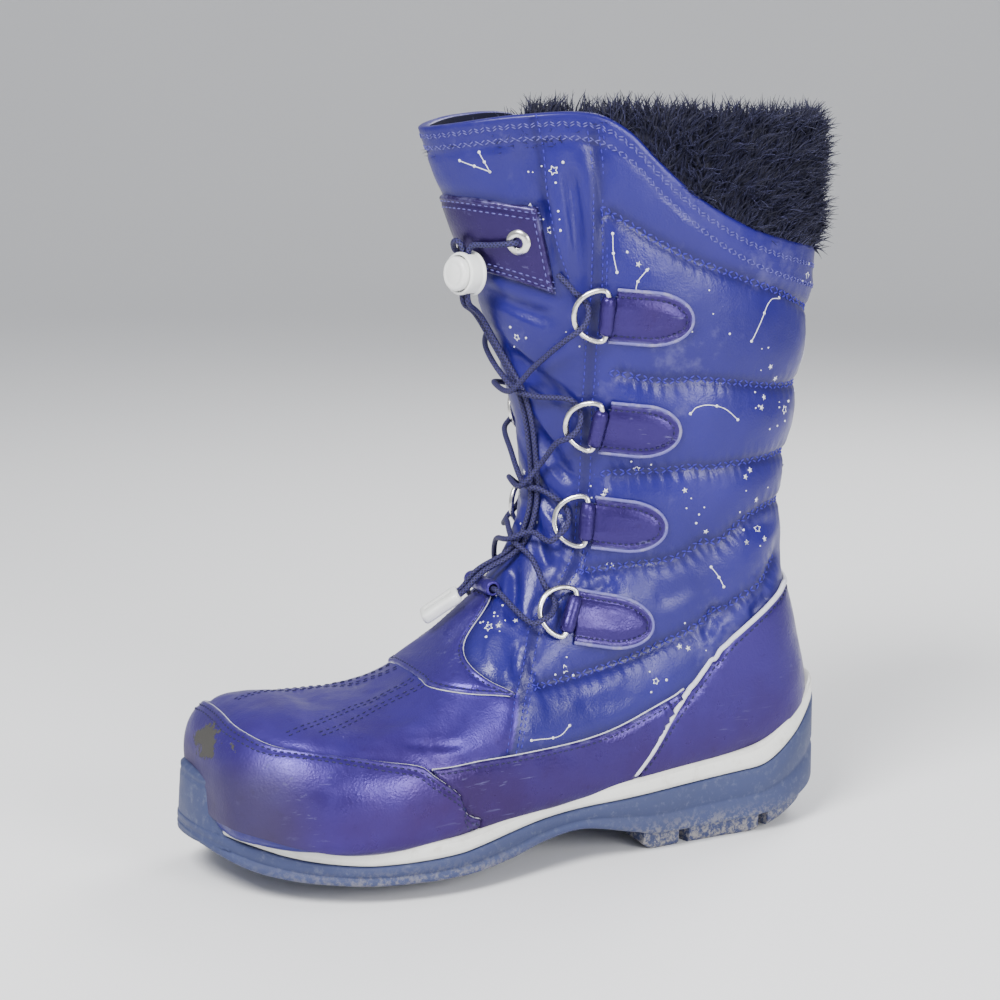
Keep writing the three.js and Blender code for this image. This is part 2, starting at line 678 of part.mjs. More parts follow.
function sideBand(side) {
  const foot = BAND_FOOT.map((at) => [at, stripAngle(at) * side]);
  const sheet = seamSheet(foot, BAND_SEAM.map(([at, degrees]) => [at, degrees * side]), 2);
  return overlay(sheet).subtract(capSheet(NEIGHBOUR_GAP)).subtract(counterSheet(NEIGHBOUR_GAP));
}

// Tongue guard: a fishtail over the instep whose narrow top folds over into a tunnel for the lace.
const GUARD_EDGE = table(['degrees', 'foot', 'top'], [
  [180, 7.36, 9.82], [173, 7.37, 9.82], [169, 7.38, 9.5], [165, 7.4, 8.8],
  [158, 7.42, 8.52], [147, 7.7, 8.48], [134, 8.2, 8.64], [121, 8.85, 8.98],
]);
const TUNNEL = { at: 9.9, lift: 3.4, outer: 3.1, inner: 1.9, half: 11 };

function cylinderBetween(from, to, radius, sides) {
  const span = to.clone().sub(from);
  const made = new THREE.CylinderGeometry(radius, radius, span.length(), sides);
  const turn = new THREE.Quaternion().setFromUnitVectors(new THREE.Vector3(0, 1, 0), span.clone().normalize());
  return made.applyQuaternion(turn).translate(...from.clone().add(to).multiplyScalar(0.5).toArray());
}

const tunnelEnd = (reach) => skin(TUNNEL.at, 180, TUNNEL.lift).add(new THREE.Vector3(reach, 0, 0));

function tongueGuard() {
  const edge = (name) => GUARD_EDGE.map((row) => [row[name], row.degrees]);
  const sheet = overlay(seamSheet(bothSides(edge('foot'), 180), bothSides(edge('top'), 180), 3));
  const tunnel = (radius, half) => solidOf(cylinderBetween(tunnelEnd(-half), tunnelEnd(half), radius, 12));
  const whole = sheet.add(tunnel(TUNNEL.outer, TUNNEL.half)).subtract(under);
  return geometryFrom(whole.subtract(tunnel(TUNNEL.inner, 30)), COARSE);
}

// Lace patch near the top of the front, with two eyelets.
const PATCH = { from: 18.15, to: 19.6, edges: [137, 200] };
const EYELETS = { near: [18.95, 146], far: [18.5, 182] };
const EYELET = { flange: 5, barrel: 2.9, hole: 1.9, proud: 0.9 };

function eyeletAxis([at, degrees]) {
  return { foot: skin(at, degrees), out: skinNormal(at, degrees) };
}

function lacePatch() {
  const columns = 6;
  const point = (u, v, lift) => (
    skin(THREE.MathUtils.lerp(PATCH.from, PATCH.to, v), THREE.MathUtils.lerp(...PATCH.edges, u), lift));
  let patch = solidOf(sheetSolid(columns, 3, point, GAP, GAP + OVERLAY));
  for (const place of Object.values(EYELETS)) {
    const { foot, out } = eyeletAxis(place);
    const end = (lift) => foot.clone().addScaledVector(out, lift);
    patch = patch.subtract(solidOf(cylinderBetween(end(-2), end(6), EYELET.barrel + GAP, 12)));
  }
  return geometryFrom(patch);
}

function eyelet(place) {
  const top = 2 * GAP + OVERLAY;
  const profile = [
    [EYELET.hole, GAP], [EYELET.barrel, GAP], [EYELET.barrel, top], [EYELET.flange, top],
    [EYELET.flange - 0.8, top + EYELET.proud], [EYELET.hole + 0.5, top + EYELET.proud], [EYELET.hole, GAP],
  ].map(([x, y]) => new THREE.Vector2(x, y));
  const { foot, out } = eyeletAxis(place);
  const ring = new THREE.LatheGeometry(profile, 14);
  ring.applyQuaternion(new THREE.Quaternion().setFromUnitVectors(new THREE.Vector3(0, 1, 0), out));
  return outward(mergeVertices(ring.translate(...foot.toArray()), 1e-4));
}

// ---------------------------------------------------------------- D-rings and their tabs
// Side-view places of each ring's bar and of its tab's round end, and the bar's lean from upright.
const TABS = table(['barY', 'barZ', 'endY', 'endZ', 'lean'], [
  [23, 212, 54, 209, 0],
  [24, 169, 52, 166, 4],
  [21.5, 131.5, 50, 128, 6],
  [11, 96.5, 44, 90, 26],
]);
const TAB = { half: 10, straight: 0.45, low: 0.5, thick: 1.8, start: 2 };
const STRAP = { sides: 8, radius: 3, bore: 1.6, half: 7.4, lift: 3.6 };
const RING = { frontLift: 5.3, reach: 12.5 };
// Wire line of half a D-ring: forward of the bar and up from its middle.
const RING_LINE = [[0, 0], [0, 7.6], [0.9, 9.3], [3.6, 9.6], [8, 7.9], [11.3, 4.4], [12.3, 0]];

function ringFrame(row, side) {
  const bar = sidePoint(row.barY, row.barZ, side, STRAP.lift);
  const lean = THREE.MathUtils.degToRad(row.lean);
  const reach = 5;
  const above = sidePoint(row.barY + reach * Math.sin(lean), row.barZ + reach * Math.cos(lean), side, STRAP.lift);
  const up = above.sub(bar).normalize();
  let y = row.barY;
  let front = bar;
  while (front.distanceTo(bar) < RING.reach) {
    y -= 0.25;
    front = sidePoint(y, row.barZ + (row.barY - y) * Math.tan(lean) * 0.4, side, RING.frontLift);
  }
  const forward = front.clone().sub(bar);
  forward.addScaledVector(up, -forward.dot(up)).normalize();
  const out = up.clone().cross(forward).multiplyScalar(side).normalize();
  const at = (f, h, n) => bar.clone().addScaledVector(forward, f).addScaledVector(up, h).addScaledVector(out, n);
  return { at };
}

function dRing(frame) {
  const upper = RING_LINE.slice(1, -1);
  const lower = upper.map(([f, h]) => [f, -h]).reverse();
  const line = [RING_LINE[0], ...upper, RING_LINE.at(-1), ...lower];
  const curve = new THREE.CatmullRomCurve3(line.map(([f, h]) => frame.at(f, h, 0)), true, 'centripetal');
  return outward(mergeVertices(bareTube(curve), 1e-4));
}

function bareTube(curve) {
  const made = new THREE.TubeGeometry(curve, 18, WIRE_RADIUS, 6, true);
  made.deleteAttribute('normal');
  made.deleteAttribute('uv');
  return made;
}

function ringTab(row, side, frame) {
  const columns = 6;
  const axis = new THREE.Vector2(row.endY - row.barY, row.endZ - row.barZ);
  const across = new THREE.Vector2(-axis.y, axis.x).normalize();
  const point = (u, v, lift) => {
    const round = Math.max(0, (u - TAB.straight) / (1 - TAB.straight));
    const half = TAB.half * Math.sqrt(1 - round * round * 0.97);
    const start = TAB.start / axis.length();
    const place = new THREE.Vector2(row.barY, row.barZ)
      .addScaledVector(axis, THREE.MathUtils.lerp(start, 1, u))
      .addScaledVector(across, (v * 2 - 1) * half);
    return sidePoint(place.x, place.y, side, lift);
  };
  const strap = (radius, half) => solidOf(cylinderBetween(frame.at(0, -half, 0), frame.at(0, half, 0), radius, STRAP.sides));
  const sheet = solidOf(sheetSolid(columns, 2, point, TAB.low, TAB.low + TAB.thick));
  return geometryFrom(sheet.add(strap(STRAP.radius, STRAP.half)).subtract(strap(STRAP.bore, 30)));
}

// ---------------------------------------------------------------- the lace
// How a strand meets each ring, in the ring's frame: under the wire, up through it and back over it.
const THROUGH_RING = [[12.8, 8, -2], [9.6, 5.9, -2.7], [7.1, 2.2, -0.7], [7.5, -2.2, 1.3], [10.2, -5.6, 2.8], [13.6, -8.4, 2]];
// Sections at which the strands cross in front, and the two strands' lifts there.
const CROSSINGS = table(['at', 'degrees', 'over', 'under'], [
  [15.5, 167, 6.9, 4.5],
  [12.7, 171, 6.9, 4.5],
  [11.1, 173, 6.9, 4.5],
]);
const WAY_LIFT = 3.2;

// Places on the skin below and above each ring's front, on a strand's way from and to its crossings.
const LEAVING = [[17.4, 133], [14.6, 147], [12, 153]];
const ARRIVING = [[15.6, 145], [12.9, 154], [10.9, 146]];

// Degrees of a place mirrored to the side a strand is on: 180 is the middle of the front.
const onSide = (degrees, side) => 180 - (180 - degrees) * side;

function strandPoints(frames, startSide) {
  const points = [skin(18.55, onSide(134.5, startSide), 1.9), skin(18.4, onSide(131, startSide), 2.2)];
  for (let level = 0; level < TABS.length; level += 1) {
    const side = level % 2 ? -startSide : startSide;
    points.push(...THROUGH_RING.map((local) => frames[level][side].at(...local)));
    const crossing = CROSSINGS[level];
    if (crossing) {
      const lift = (startSide > 0) === (level % 2 === 0) ? crossing.over : crossing.under;
      const halfway = ([at, degrees], toSide) => skin(
        (at + crossing.at) / 2,
        (onSide(degrees, toSide) + crossing.degrees) / 2,
        (lift + WAY_LIFT) / 2,
      );
      points.push(
        halfway(LEAVING[level], side),
        skin(crossing.at, crossing.degrees, lift),
        halfway(ARRIVING[level], -side),
      );
    } else {
      const reach = [TUNNEL.half + 3, TUNNEL.half, 4, -0.5];
      points.push(...reach.map((x) => tunnelEnd(side * x)));
    }
  }
  return points;
}

function lace(frames) {
  const strands = [1, -1].map((side) => solidOf(tube(strandPoints(frames, side), CORD_RADIUS, 58, 6)));
  return geometryFrom(strands[0].add(strands[1]));
}

// ---------------------------------------------------------------- the cord lock and the hanging cords
const LOCK = {
  at: 18.2, degrees: 169.5, lift: 5.4, radius: 8.1, lip: 8.6, lipLength: 1.2, length: 7.4, bore: 6.8, floor: 1.2,
};
const LOCK_AXIS = new THREE.Vector3(0.29, -0.95, 0.03).normalize();
const BUTTON = { radius: 6.5, from: 3.4, face: 7, to: 9.8 };
// Slot for the two cords, right through the lock from top to bottom.
const SLOT = { half: 3.4, from: 2.2, to: 5.2, cords: 3.7, spread: 1.5 };

const lockRear = skin(LOCK.at, LOCK.degrees, LOCK.lift);
const lockAcross = new THREE.Vector3(0, 0, 1).cross(LOCK_AXIS).normalize();
const lockUp = LOCK_AXIS.clone().cross(lockAcross);
const lockTurn = new THREE.Matrix4().makeBasis(lockAcross, lockUp, LOCK_AXIS).setPosition(lockRear);
// A place in the lock: across, up, and forward of its rear face.
const inLock = (across, up, ahead) => new THREE.Vector3(across, up, ahead).applyMatrix4(lockTurn);

function lockBarrel(radius, from, to, sides) {
  return solidOf(new THREE.CylinderGeometry(radius, radius, to - from, sides)
    .rotateX(Math.PI / 2)
    .translate(0, 0, (from + to) / 2));
}

const lockSlot = (from, to) => solidOf(box([-SLOT.half, -20, from], [SLOT.half, 20, to]));

function lockBody() {
  const outside = lockBarrel(LOCK.radius, 0, LOCK.length, 20).add(lockBarrel(LOCK.lip, 0, LOCK.lipLength, 20));
  const body = outside.subtract(lockBarrel(LOCK.bore, LOCK.floor, LOCK.length + 1, 20));
  return geometryFrom(body.subtract(lockSlot(SLOT.from, SLOT.to))).applyMatrix4(lockTurn);
}

function lockButton() {
  const plunger = lockBarrel(BUTTON.radius, BUTTON.from, BUTTON.to - 0.8, 20)
    .add(lockBarrel(BUTTON.radius - 0.7, BUTTON.to - 2, BUTTON.to, 20));
  return geometryFrom(plunger.subtract(lockSlot(0, BUTTON.face))).applyMatrix4(lockTurn);
}

// The middle line of the two cords down the front, by section, degrees and lift.
const HANG = table(['at', 'degrees', 'lift'], [
  [17.3, 177.5, 5.6], [16.6, 178.5, 2.8], [15.95, 174, 1.7], [15.4, 168, 1.6], [14.6, 167, 1.6],
  [13.8, 168, 1.6], [13, 168.5, 1.6], [12.3, 168.5, 1.6], [11.7, 169.5, 1.6], [11.1, 171.5, 1.8],
  [10.65, 175, 3.8], [10.25, 178, 7.2], [9.85, 179.5, 8.6],
]);
const HANG_SPREAD = 2.4;
const CLIP = { at: 9.4, degrees: 181, lift: 7.6, length: 17, half: 4.75, thick: 5, seat: 3, bore: 1.5, spread: 1.9 };
const CLIP_RUN = new THREE.Vector3(-0.35, -0.74, -0.56).normalize();
const CLIP_GROOVE = { half: 0.7, deep: 1.2, end: 2.5 };

const clipAcross = skinNormal(CLIP.at, CLIP.degrees).cross(CLIP_RUN).normalize();
const clipTurn = new THREE.Matrix4()
  .makeBasis(clipAcross, CLIP_RUN.clone().cross(clipAcross), CLIP_RUN)
  .setPosition(skin(CLIP.at, CLIP.degrees, CLIP.lift));
// A place in the cord end: across, up, and forward of its rear face.
const inClip = (across, up, ahead) => new THREE.Vector3(across, up, ahead).applyMatrix4(clipTurn);

// Flat double bar that holds the ends of both cords in blind holes.
function cordEnd() {
  const { half, thick, length, seat, bore, spread } = CLIP;
  const bar = box([-half + 1, -thick / 2, 0], [half - 1, thick / 2, length]);
  const waist = box([-half, -thick / 2 + 1, 0.8], [half, thick / 2 - 1, length - 0.8]);
  let body = solidOf(bar).add(solidOf(waist));
  const groove = CLIP_GROOVE;
  for (const face of [1, -1]) {
    const floor = face * (thick / 2 - groove.deep);
    const low = Math.min(floor, face * thick);
    const high = Math.max(floor, face * thick);
    body = body.subtract(solidOf(box([-groove.half, low, groove.end], [groove.half, high, length - groove.end])));
  }
  for (const side of [1, -1]) {
    const hole = cylinderBetween(new THREE.Vector3(side * spread, 0, -1), new THREE.Vector3(side * spread, 0, seat), bore, 10);
    body = body.subtract(solidOf(hole));
  }
  return geometryFrom(body).applyMatrix4(clipTurn);
}

// A hanging cord: out of its eyelet, down through the lock and down the front to the cord end.
const CORD_STARTS = {
  near: [skin(18.9, 151.5, 5), skin(18.8, 159, 4.2), skin(18.74, 165.5, 5)],
  far: [new THREE.Vector3(-6.5, -22.3, 237.2), new THREE.Vector3(-2.4, -23.4, 239.4)],
};

function hangingCord(name, side) {
  const { foot, out } = eyeletAxis(EYELETS[name]);
  const spread = side * SLOT.spread;
  const points = [
    foot.clone().addScaledVector(out, 0.6),
    foot.clone().addScaledVector(out, 4.2),
    ...CORD_STARTS[name],
    ...[11, 5, -5, -11].map((up) => inLock(spread, up, SLOT.cords)),
    ...HANG.map((row) => skin(row.at, row.degrees - side * HANG_SPREAD, row.lift)),
    inClip(side * CLIP.spread, 0, -3),
    inClip(side * CLIP.spread, 0, CLIP.seat - GAP),
  ];
  return tube(points, CORD_RADIUS, 40);
}

// ---------------------------------------------------------------- the boot
const form = upperForm(OVERLAY + 2.6 * GAP, GAP);
const boot = new THREE.Group();
boot.add(
  mesh('outsole', outsole(form), 0x46587f, 0.6),
  mesh('midsole', midsole(form), 0xe8ebe6, 0.5),
  mesh('upper', upperShell(), 0x2f3494, 0.45),
  mesh('insole', insole(), 0x2a2c44, 0.9),
  mesh('fur_cuff', furCuff(), 0x14162c, 0.95),
  mesh('toe_cap', geometryFrom(overlay(capSheet()), COARSE), 0x3a3478, 0.35, 0.3),
  mesh('heel_counter', geometryFrom(overlay(counterSheet()), COARSE), 0x35306c, 0.4, 0.3),
  mesh('side_band_lateral', geometryFrom(sideBand(1), COARSE), 0x35306c, 0.4, 0.3),
  mesh('side_band_medial', geometryFrom(sideBand(-1), COARSE), 0x35306c, 0.4, 0.3),
  mesh('tongue_guard', tongueGuard(), 0x3a3478, 0.35, 0.3),
  mesh('lace_patch', lacePatch(), 0x35284f, 0.4, 0.3),
  mesh('eyelet_near', eyelet(EYELETS.near), 0xc9c9c4, 0.3, 1),
  mesh('eyelet_far', eyelet(EYELETS.far), 0xc9c9c4, 0.3, 1),
);
const frames = TABS.map((row) => ({ 1: ringFrame(row, 1), [-1]: ringFrame(row, -1) }));
TABS.forEach((row, level) => {
  for (const [side, label] of [[1, 'lateral'], [-1, 'medial']]) {
    const frame = frames[level][side];
    boot.add(
      mesh(`d_ring_${label}_${level + 1}`, dRing(frame), 0xcfcdc8, 0.25, 1),
      mesh(`ring_tab_${label}_${level + 1}`, ringTab(row, side, frame), 0x3b3a80, 0.4, 0.2),
    );
  }
});
boot.add(
  mesh('lace', lace(frames), 0x23264a, 0.7),
  mesh('cord_lateral', hangingCord('near', 1), 0x23264a, 0.7),
  mesh('cord_medial', hangingCord('far', -1), 0x23264a, 0.7),
  mesh('cord_lock_body', lockBody(), 0xf0f0ec, 0.3),
  mesh('cord_lock_button', lockButton(), 0xf4f4f0, 0.3),
  mesh('cord_end', cordEnd(), 0xf0f0ec, 0.3),
);
export default boot;
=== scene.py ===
"""A child's quilted snow boot for the left foot: the finish of every piece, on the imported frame.

Made in millimetres by the functions below and put into the scene in metres. The toe points to -Y,
the outer (lateral) side is +X and +Z is up. A place on the upper is a section, from 0 at the toe
tip over the instep to 22 above the collar, and an angle in degrees: 0 behind, 90 lateral, 180 in front.
"""

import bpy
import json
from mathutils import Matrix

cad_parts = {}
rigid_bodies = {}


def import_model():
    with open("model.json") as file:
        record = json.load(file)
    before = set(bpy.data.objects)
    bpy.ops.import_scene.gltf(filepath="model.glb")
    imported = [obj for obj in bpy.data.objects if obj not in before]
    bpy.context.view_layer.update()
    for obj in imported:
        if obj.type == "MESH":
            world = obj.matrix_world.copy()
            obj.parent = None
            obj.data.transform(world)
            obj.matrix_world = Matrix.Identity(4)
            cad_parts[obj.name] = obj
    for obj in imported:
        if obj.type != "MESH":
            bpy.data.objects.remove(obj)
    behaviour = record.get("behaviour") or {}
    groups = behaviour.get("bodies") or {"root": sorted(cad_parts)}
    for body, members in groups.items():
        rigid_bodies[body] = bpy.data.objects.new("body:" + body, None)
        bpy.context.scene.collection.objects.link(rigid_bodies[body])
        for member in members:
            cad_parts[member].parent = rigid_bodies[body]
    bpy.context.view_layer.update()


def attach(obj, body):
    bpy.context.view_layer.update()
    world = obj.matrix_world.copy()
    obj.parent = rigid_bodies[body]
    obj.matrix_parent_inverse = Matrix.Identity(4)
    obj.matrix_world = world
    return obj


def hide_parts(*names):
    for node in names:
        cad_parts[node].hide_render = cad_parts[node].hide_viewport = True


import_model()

import json
import math

import bmesh
import bpy
import numpy as np
from bpy.props import FloatProperty, FloatVectorProperty, IntProperty, PointerProperty
from mathutils import Vector, noise

bl_info = {
    "name": "Quilted snow boot",
    "version": (1, 0, 0),
    "blender": (4, 5, 0),
    "location": "3D View > Sidebar > Snow boot",
    "description": "Builds the finish of a quilted snow boot piece by piece",
    "category": "Object",
}

MM = 0.001
BODY = "boot"
BUTTON_BODY = "lock_button"
SIDES = ((1, "lateral"), (-1, "medial"))

# ------------------------ the boot's own sizes, in millimetres
GAP = 0.3
FOOT_WALL = 6
SHAFT_WALL = 10
FLOOR_WALL = 3
COLLAR_WALL = 4
FUR_TOP = 291
LINING_DEPTH = 1.3
OVERLAY = 1.5
WIRE_RADIUS = 1.1
CORD_RADIUS = 1.1

# at, frontY, frontZ, frontX, backY, backZ, lateral, medial, widest, frontRound, backRound
SECTIONS = np.array([
    [0, -126.5, 40, -14, -126, 29, 2, 2, 0.5, 2.5, 2.5],
    [1, -125, 51, -14, -124.5, 26, 20, 20, 0.42, 2.5, 3.5],
    [2, -121, 60, -13, -121.5, 24, 29, 29, 0.38, 2.6, 5],
    [3, -113, 65.5, -11, -114, 22.5, 37, 36.5, 0.36, 2.7, 6],
    [4, -100, 67.5, -8, -102, 21, 44.5, 42.5, 0.34, 2.7, 7],
    [5, -85, 66.5, -5, -88, 20, 49, 46.5, 0.33, 2.6, 7],
    [6, -68, 67, -3, -70, 19.5, 51, 48, 0.32, 2.5, 7],
    [7, -51, 71.5, -1, -50, 20, 49.5, 46.5, 0.31, 2.4, 7],
    [8, -36.5, 80, 0, -28, 21.5, 46, 41, 0.31, 2.4, 7],
    [9, -23, 92, 0, 0, 24, 42, 36, 0.3, 2.3, 7],
    [10, -9.5, 105, 0, 32, 26, 38, 34, 0.3, 2.2, 6],
    [11, 0.5, 120, 0, 66, 28.5, 36, 34, 0.32, 2.1, 5],
    [12, 5.5, 135, -1, 98, 31, 35, 34, 0.36, 2.1, 4.3],
    [13, 6.5, 149, -2, 119, 37, 34.5, 33, 0.42, 2.1, 3.6],
    [14, 5.5, 163, -3, 123.5, 54, 35, 33, 0.45, 2, 3],
    [15, 3, 177, -4, 119.5, 77, 36, 33, 0.46, 2, 2.7],
    [16, -1, 192, -5, 113, 104, 38, 34, 0.46, 2, 2.6],
    [17, -6.5, 208, -6, 112.5, 135, 41, 36, 0.46, 1.95, 2.5],
    [18, -12.5, 225, -7, 117, 168, 44, 38, 0.46, 1.9, 2.5],
    [19, -19.5, 244, -8, 122, 205, 46, 40, 0.46, 1.9, 2.5],
    [20, -27, 264, -9, 126, 246, 47, 41, 0.46, 1.9, 2.5],
    [21, -34.5, 285, -10, 129, 290, 48, 42, 0.46, 1.9, 2.5],
    [22, -40, 301, -10, 131, 312, 48, 42, 0.46, 1.9, 2.5],
], float)
LAST = 22
# how far a section of the shaft lies above the one before it
SECTION_RISE = 19.5

# y, z of the collar's edge in side view
COLLAR = np.array([
    [-45, 277], [-30, 281], [-10, 284.5], [15, 285], [28, 278.5],
    [41, 266], [55, 254.5], [75, 243.5], [95, 237], [125, 231],
], float)

# y, lowest point of the lugs, foot of the side wall, foot and top of the white strip
LAYERS = np.array([
    [-132.5, 12, 18.5, 25.5, 33],
    [-118, 8, 12, 21.9, 30.3],
    [-105, 4.4, 9.5, 18.5, 27],
    [-90, 1.8, 8.2, 16.3, 24.4],
    [-76, 0, 7.4, 15.3, 23],
    [-45, 0, 7.2, 16.2, 22.8],
    [-34, 1.5, 7.8, 17.8, 24],
    [-20, 5, 9.8, 20.2, 26],
    [-6, 10, 12.8, 22, 27.5],
    [12, 12.5, 14.4, 23.2, 29.5],
    [34, 7.5, 10, 24.2, 31.4],
    [46, 0, 7.5, 24.9, 32.4],
    [85, 0, 7.5, 27.7, 36.1],
    [97, 0.8, 8.3, 29.5, 39.4],
    [112, 4.5, 11, 38.5, 50],
    [122, 7, 13.4, 47, 56],
    [132.5, 10.5, 17, 53, 59.5],
], float)
LUG, WALL, STRIP_FOOT, STRIP_TOP = range(4)


# ------------------------ curves and the upper's surface
def along(rows, place):
    """The table's other columns at places along its first, on a smooth curve through its rows."""
    keys, values = rows[:, 0], rows[:, 1:]
    before = np.maximum(np.arange(len(keys)) - 1, 0)
    after = np.minimum(np.arange(len(keys)) + 1, len(keys) - 1)
    slope = (values[after] - values[before]) / (keys[after] - keys[before])[:, None]
    i = np.clip(np.searchsorted(keys, place, side="right") - 1, 0, len(keys) - 2)
    span = (keys[i + 1] - keys[i])[..., None]
    s = np.clip((np.asarray(place, float) - keys[i])[..., None] / span, 0, 1)
    rise = s * s * (3 - 2 * s)
    bend = slope[i] * s * (1 - s) ** 2 - slope[i + 1] * s * s * (1 - s)
    return values[i] * (1 - rise) + values[i + 1] * rise + span * bend


def smooth(table, count):
    """Points evenly spread along a smooth curve through a table's rows."""
    table = np.asarray(table, float)
    keyed = np.column_stack([np.arange(len(table)), table])
    return along(keyed, np.linspace(0, len(table) - 1, count))


def section_point(at, degrees, side=0.0, front=0.0, back=0.0):
    """Points of the upper, moved in from each side by the given walls."""
    at, degrees, side, front, back = np.broadcast_arrays(at, degrees, side, front, back)
    r = np.moveaxis(along(SECTIONS, np.clip(at, 0, LAST)), -1, 0)
    front_y, front_z, front_x, back_y, back_z, lateral, medial, widest, front_round, back_round = r
    angle = np.radians(degrees)
    c, s = np.cos(angle), np.sin(angle)
    power = 2 / np.where(c > 0, back_round, front_round)
    behind = np.sign(c) * np.abs(c) ** power
    out = np.sign(s) * np.abs(s) ** power
    depth = np.hypot(front_y - back_y, front_z - back_z)
    low, high = back / depth, 1 - front / depth
    share = np.where(behind > 0, widest - behind * (widest - low), widest - behind * (high - widest))
    half = np.where(out > 0, lateral, medial) - side
    return np.stack([
        front_x * share ** 2 + half * out,
        back_y + (front_y - back_y) * share,
        back_z + (front_z - back_z) * share,
    ], -1)


def unit(v):
    v = np.asarray(v, float)
    return v / np.maximum(np.linalg.norm(v, axis=-1, keepdims=True), 1e-9)


def skin_normal(at, degrees):
    """The way out of the skin."""
    up = section_point(np.add(at, 0.01), degrees) - section_point(np.subtract(at, 0.01), degrees)
    turn = section_point(at, np.add(degrees, 1)) - section_point(at, np.subtract(degrees, 1))
    return unit(np.cross(up, turn))


def skin(at, degrees, lift=0.0):
    """Points above the skin by a lift."""
    return section_point(at, degrees) + skin_normal(at, degrees) * np.asarray(lift, float)[..., None]


def inner_point(at, degrees, extra=0.0):
    """Points of the hollow's wall."""
    shaft, heel = soft_step(at, 10, 15), soft_step(at, 12.5, 14.5)
    nose = np.maximum(0, 1 - np.asarray(at, float) / 5)
    side = (FOOT_WALL + (SHAFT_WALL - FOOT_WALL) * shaft) * (1 - nose) + extra
    back = (FLOOR_WALL + (SHAFT_WALL - FLOOR_WALL) * heel) * (1 - nose) + extra
    p = section_point(at, degrees, side, side, back)
    p[..., 1] += FOOT_WALL * nose
    return p


def soft_step(x, low, high):
    """From 0 at low to 1 at high, with soft ends."""
    s = np.clip((np.asarray(x, float) - low) / (high - low), 0, 1)
    return s * s * (3 - 2 * s)


def hump(gap, width, middle=0.0):
    """A smooth bell across a line, 1 at its middle."""
    return np.exp(-((gap - middle) / width) ** 2)


def section_reaching(degrees, height_at):
    """The section at which the skin reaches a height, given as a function of y."""
    low, high = np.full(np.shape(degrees), 15.0), np.full(np.shape(degrees), float(LAST))
    for _ in range(40):
        middle = (low + high) / 2
        p = section_point(middle, degrees)
        under = p[..., 2] < height_at(p[..., 1])
        low, high = np.where(under, middle, low), np.where(under, high, middle)
    return low


FINE_TURN = np.linspace(0, 360, 721)
COLLAR_AT = section_reaching(FINE_TURN, lambda y: along(COLLAR, y)[..., 0])
FUR_AT = section_reaching(FINE_TURN, lambda y: np.full(np.shape(y), float(FUR_TOP)))


def collar_of(degrees):
    """The section of the collar's edge at an angle."""
    return np.interp(np.mod(degrees, 360), FINE_TURN, COLLAR_AT)


def place_at(y, z, side):
    """The section and angle of the points of the skin that side view shows at (y, z)."""
    y, z = np.broadcast_arrays(np.asarray(y, float), np.asarray(z, float))

    def off_line(t):
        r = along(SECTIONS, t)
        return (r[..., 0] - r[..., 3]) * (z - r[..., 4]) - (r[..., 1] - r[..., 4]) * (y - r[..., 3])

    low, high = np.zeros(y.shape), np.full(y.shape, float(LAST))
    sign = np.sign(off_line(low))
    for _ in range(40):
        middle = (low + high) / 2
        same = np.sign(off_line(middle)) == sign
        low, high = np.where(same, middle, low), np.where(same, high, middle)
    r = along(SECTIONS, low)
    dy, dz = r[..., 0] - r[..., 3], r[..., 1] - r[..., 4]
    share = ((y - r[..., 3]) * dy + (z - r[..., 4]) * dz) / (dy * dy + dz * dz)
    widest = r[..., 7]
    behind = share < widest
    reach = np.where(behind, (widest - share) / widest, (share - widest) / (1 - widest))
    power = np.where(behind, r[..., 9], r[..., 8]) / 2
    c = np.minimum(np.abs(reach), 1) ** power * np.where(behind, 1, -1)
    return low, np.degrees(np.arccos(c)) * side


def side_point(y, z, side, lift):
    """A point above the skin, from its place in side view."""
    at, degrees = place_at(y, z, side)
    return skin(at, degrees, lift)


def spline(points, step, closed=False):
    """Points about a step apart on the centripetal curve through the given points."""
    p = np.asarray(points, float)
    if closed:
        p = np.vstack([p[-1], p, p[:2]])
    else:
        p = np.vstack([2 * p[0] - p[1], p, 2 * p[-1] - p[-2]])
    pieces = []
    for a, b, c, d in zip(p[:-3], p[1:-2], p[2:-1], p[3:]):
        t0, t1, t2 = (max(np.linalg.norm(v) ** 0.5, 1e-4) for v in (b - a, c - b, d - c))
        start = ((b - a) / t0 - (c - a) / (t0 + t1) + (c - b) / t1) * t1
        end = ((c - b) / t1 - (d - b) / (t1 + t2) + (d - c) / t2) * t1
        s = np.linspace(0, 1, 24, endpoint=False)[:, None]
        pieces.append((2 * s ** 3 - 3 * s ** 2 + 1) * b + (s ** 3 - 2 * s ** 2 + s) * start
                      + (-2 * s ** 3 + 3 * s ** 2) * c + (s ** 3 - s ** 2) * end)
    fine = np.vstack(pieces + [p[-2][None]])
    return evenly(fine, step)


def eased(line, times):
    """The line with its sharpest corners rounded, its ends kept."""
    line = line.copy()
    for _ in range(times):
        line[1:-1] += (line[:-2] + line[2:] - 2 * line[1:-1]) * 0.3
    return line


def evenly(line, step):
    """The line again, with its points about a step apart."""
    run = np.concatenate([[0], np.cumsum(np.linalg.norm(np.diff(line, axis=0), axis=1))])
    places = np.linspace(0, run[-1], max(2, round(run[-1] / step) + 1))
    return np.column_stack([np.interp(places, run, line[:, k]) for k in range(line.shape[1])])


def mirrored(table, axis):
    """A line drawn on the lateral side, on the medial one."""
    return [[at, 2 * axis - degrees] for at, degrees in table]


def flipped(table, side):
    """The line as drawn on the lateral side, or its mirror image on the medial one."""
    return table if side > 0 else mirrored(table, 180)


def both_sides(table, axis):
    """The lateral line from its far end to the middle and on to its medial mirror image."""
    return list(table)[::-1] + mirrored(table[1:], axis)


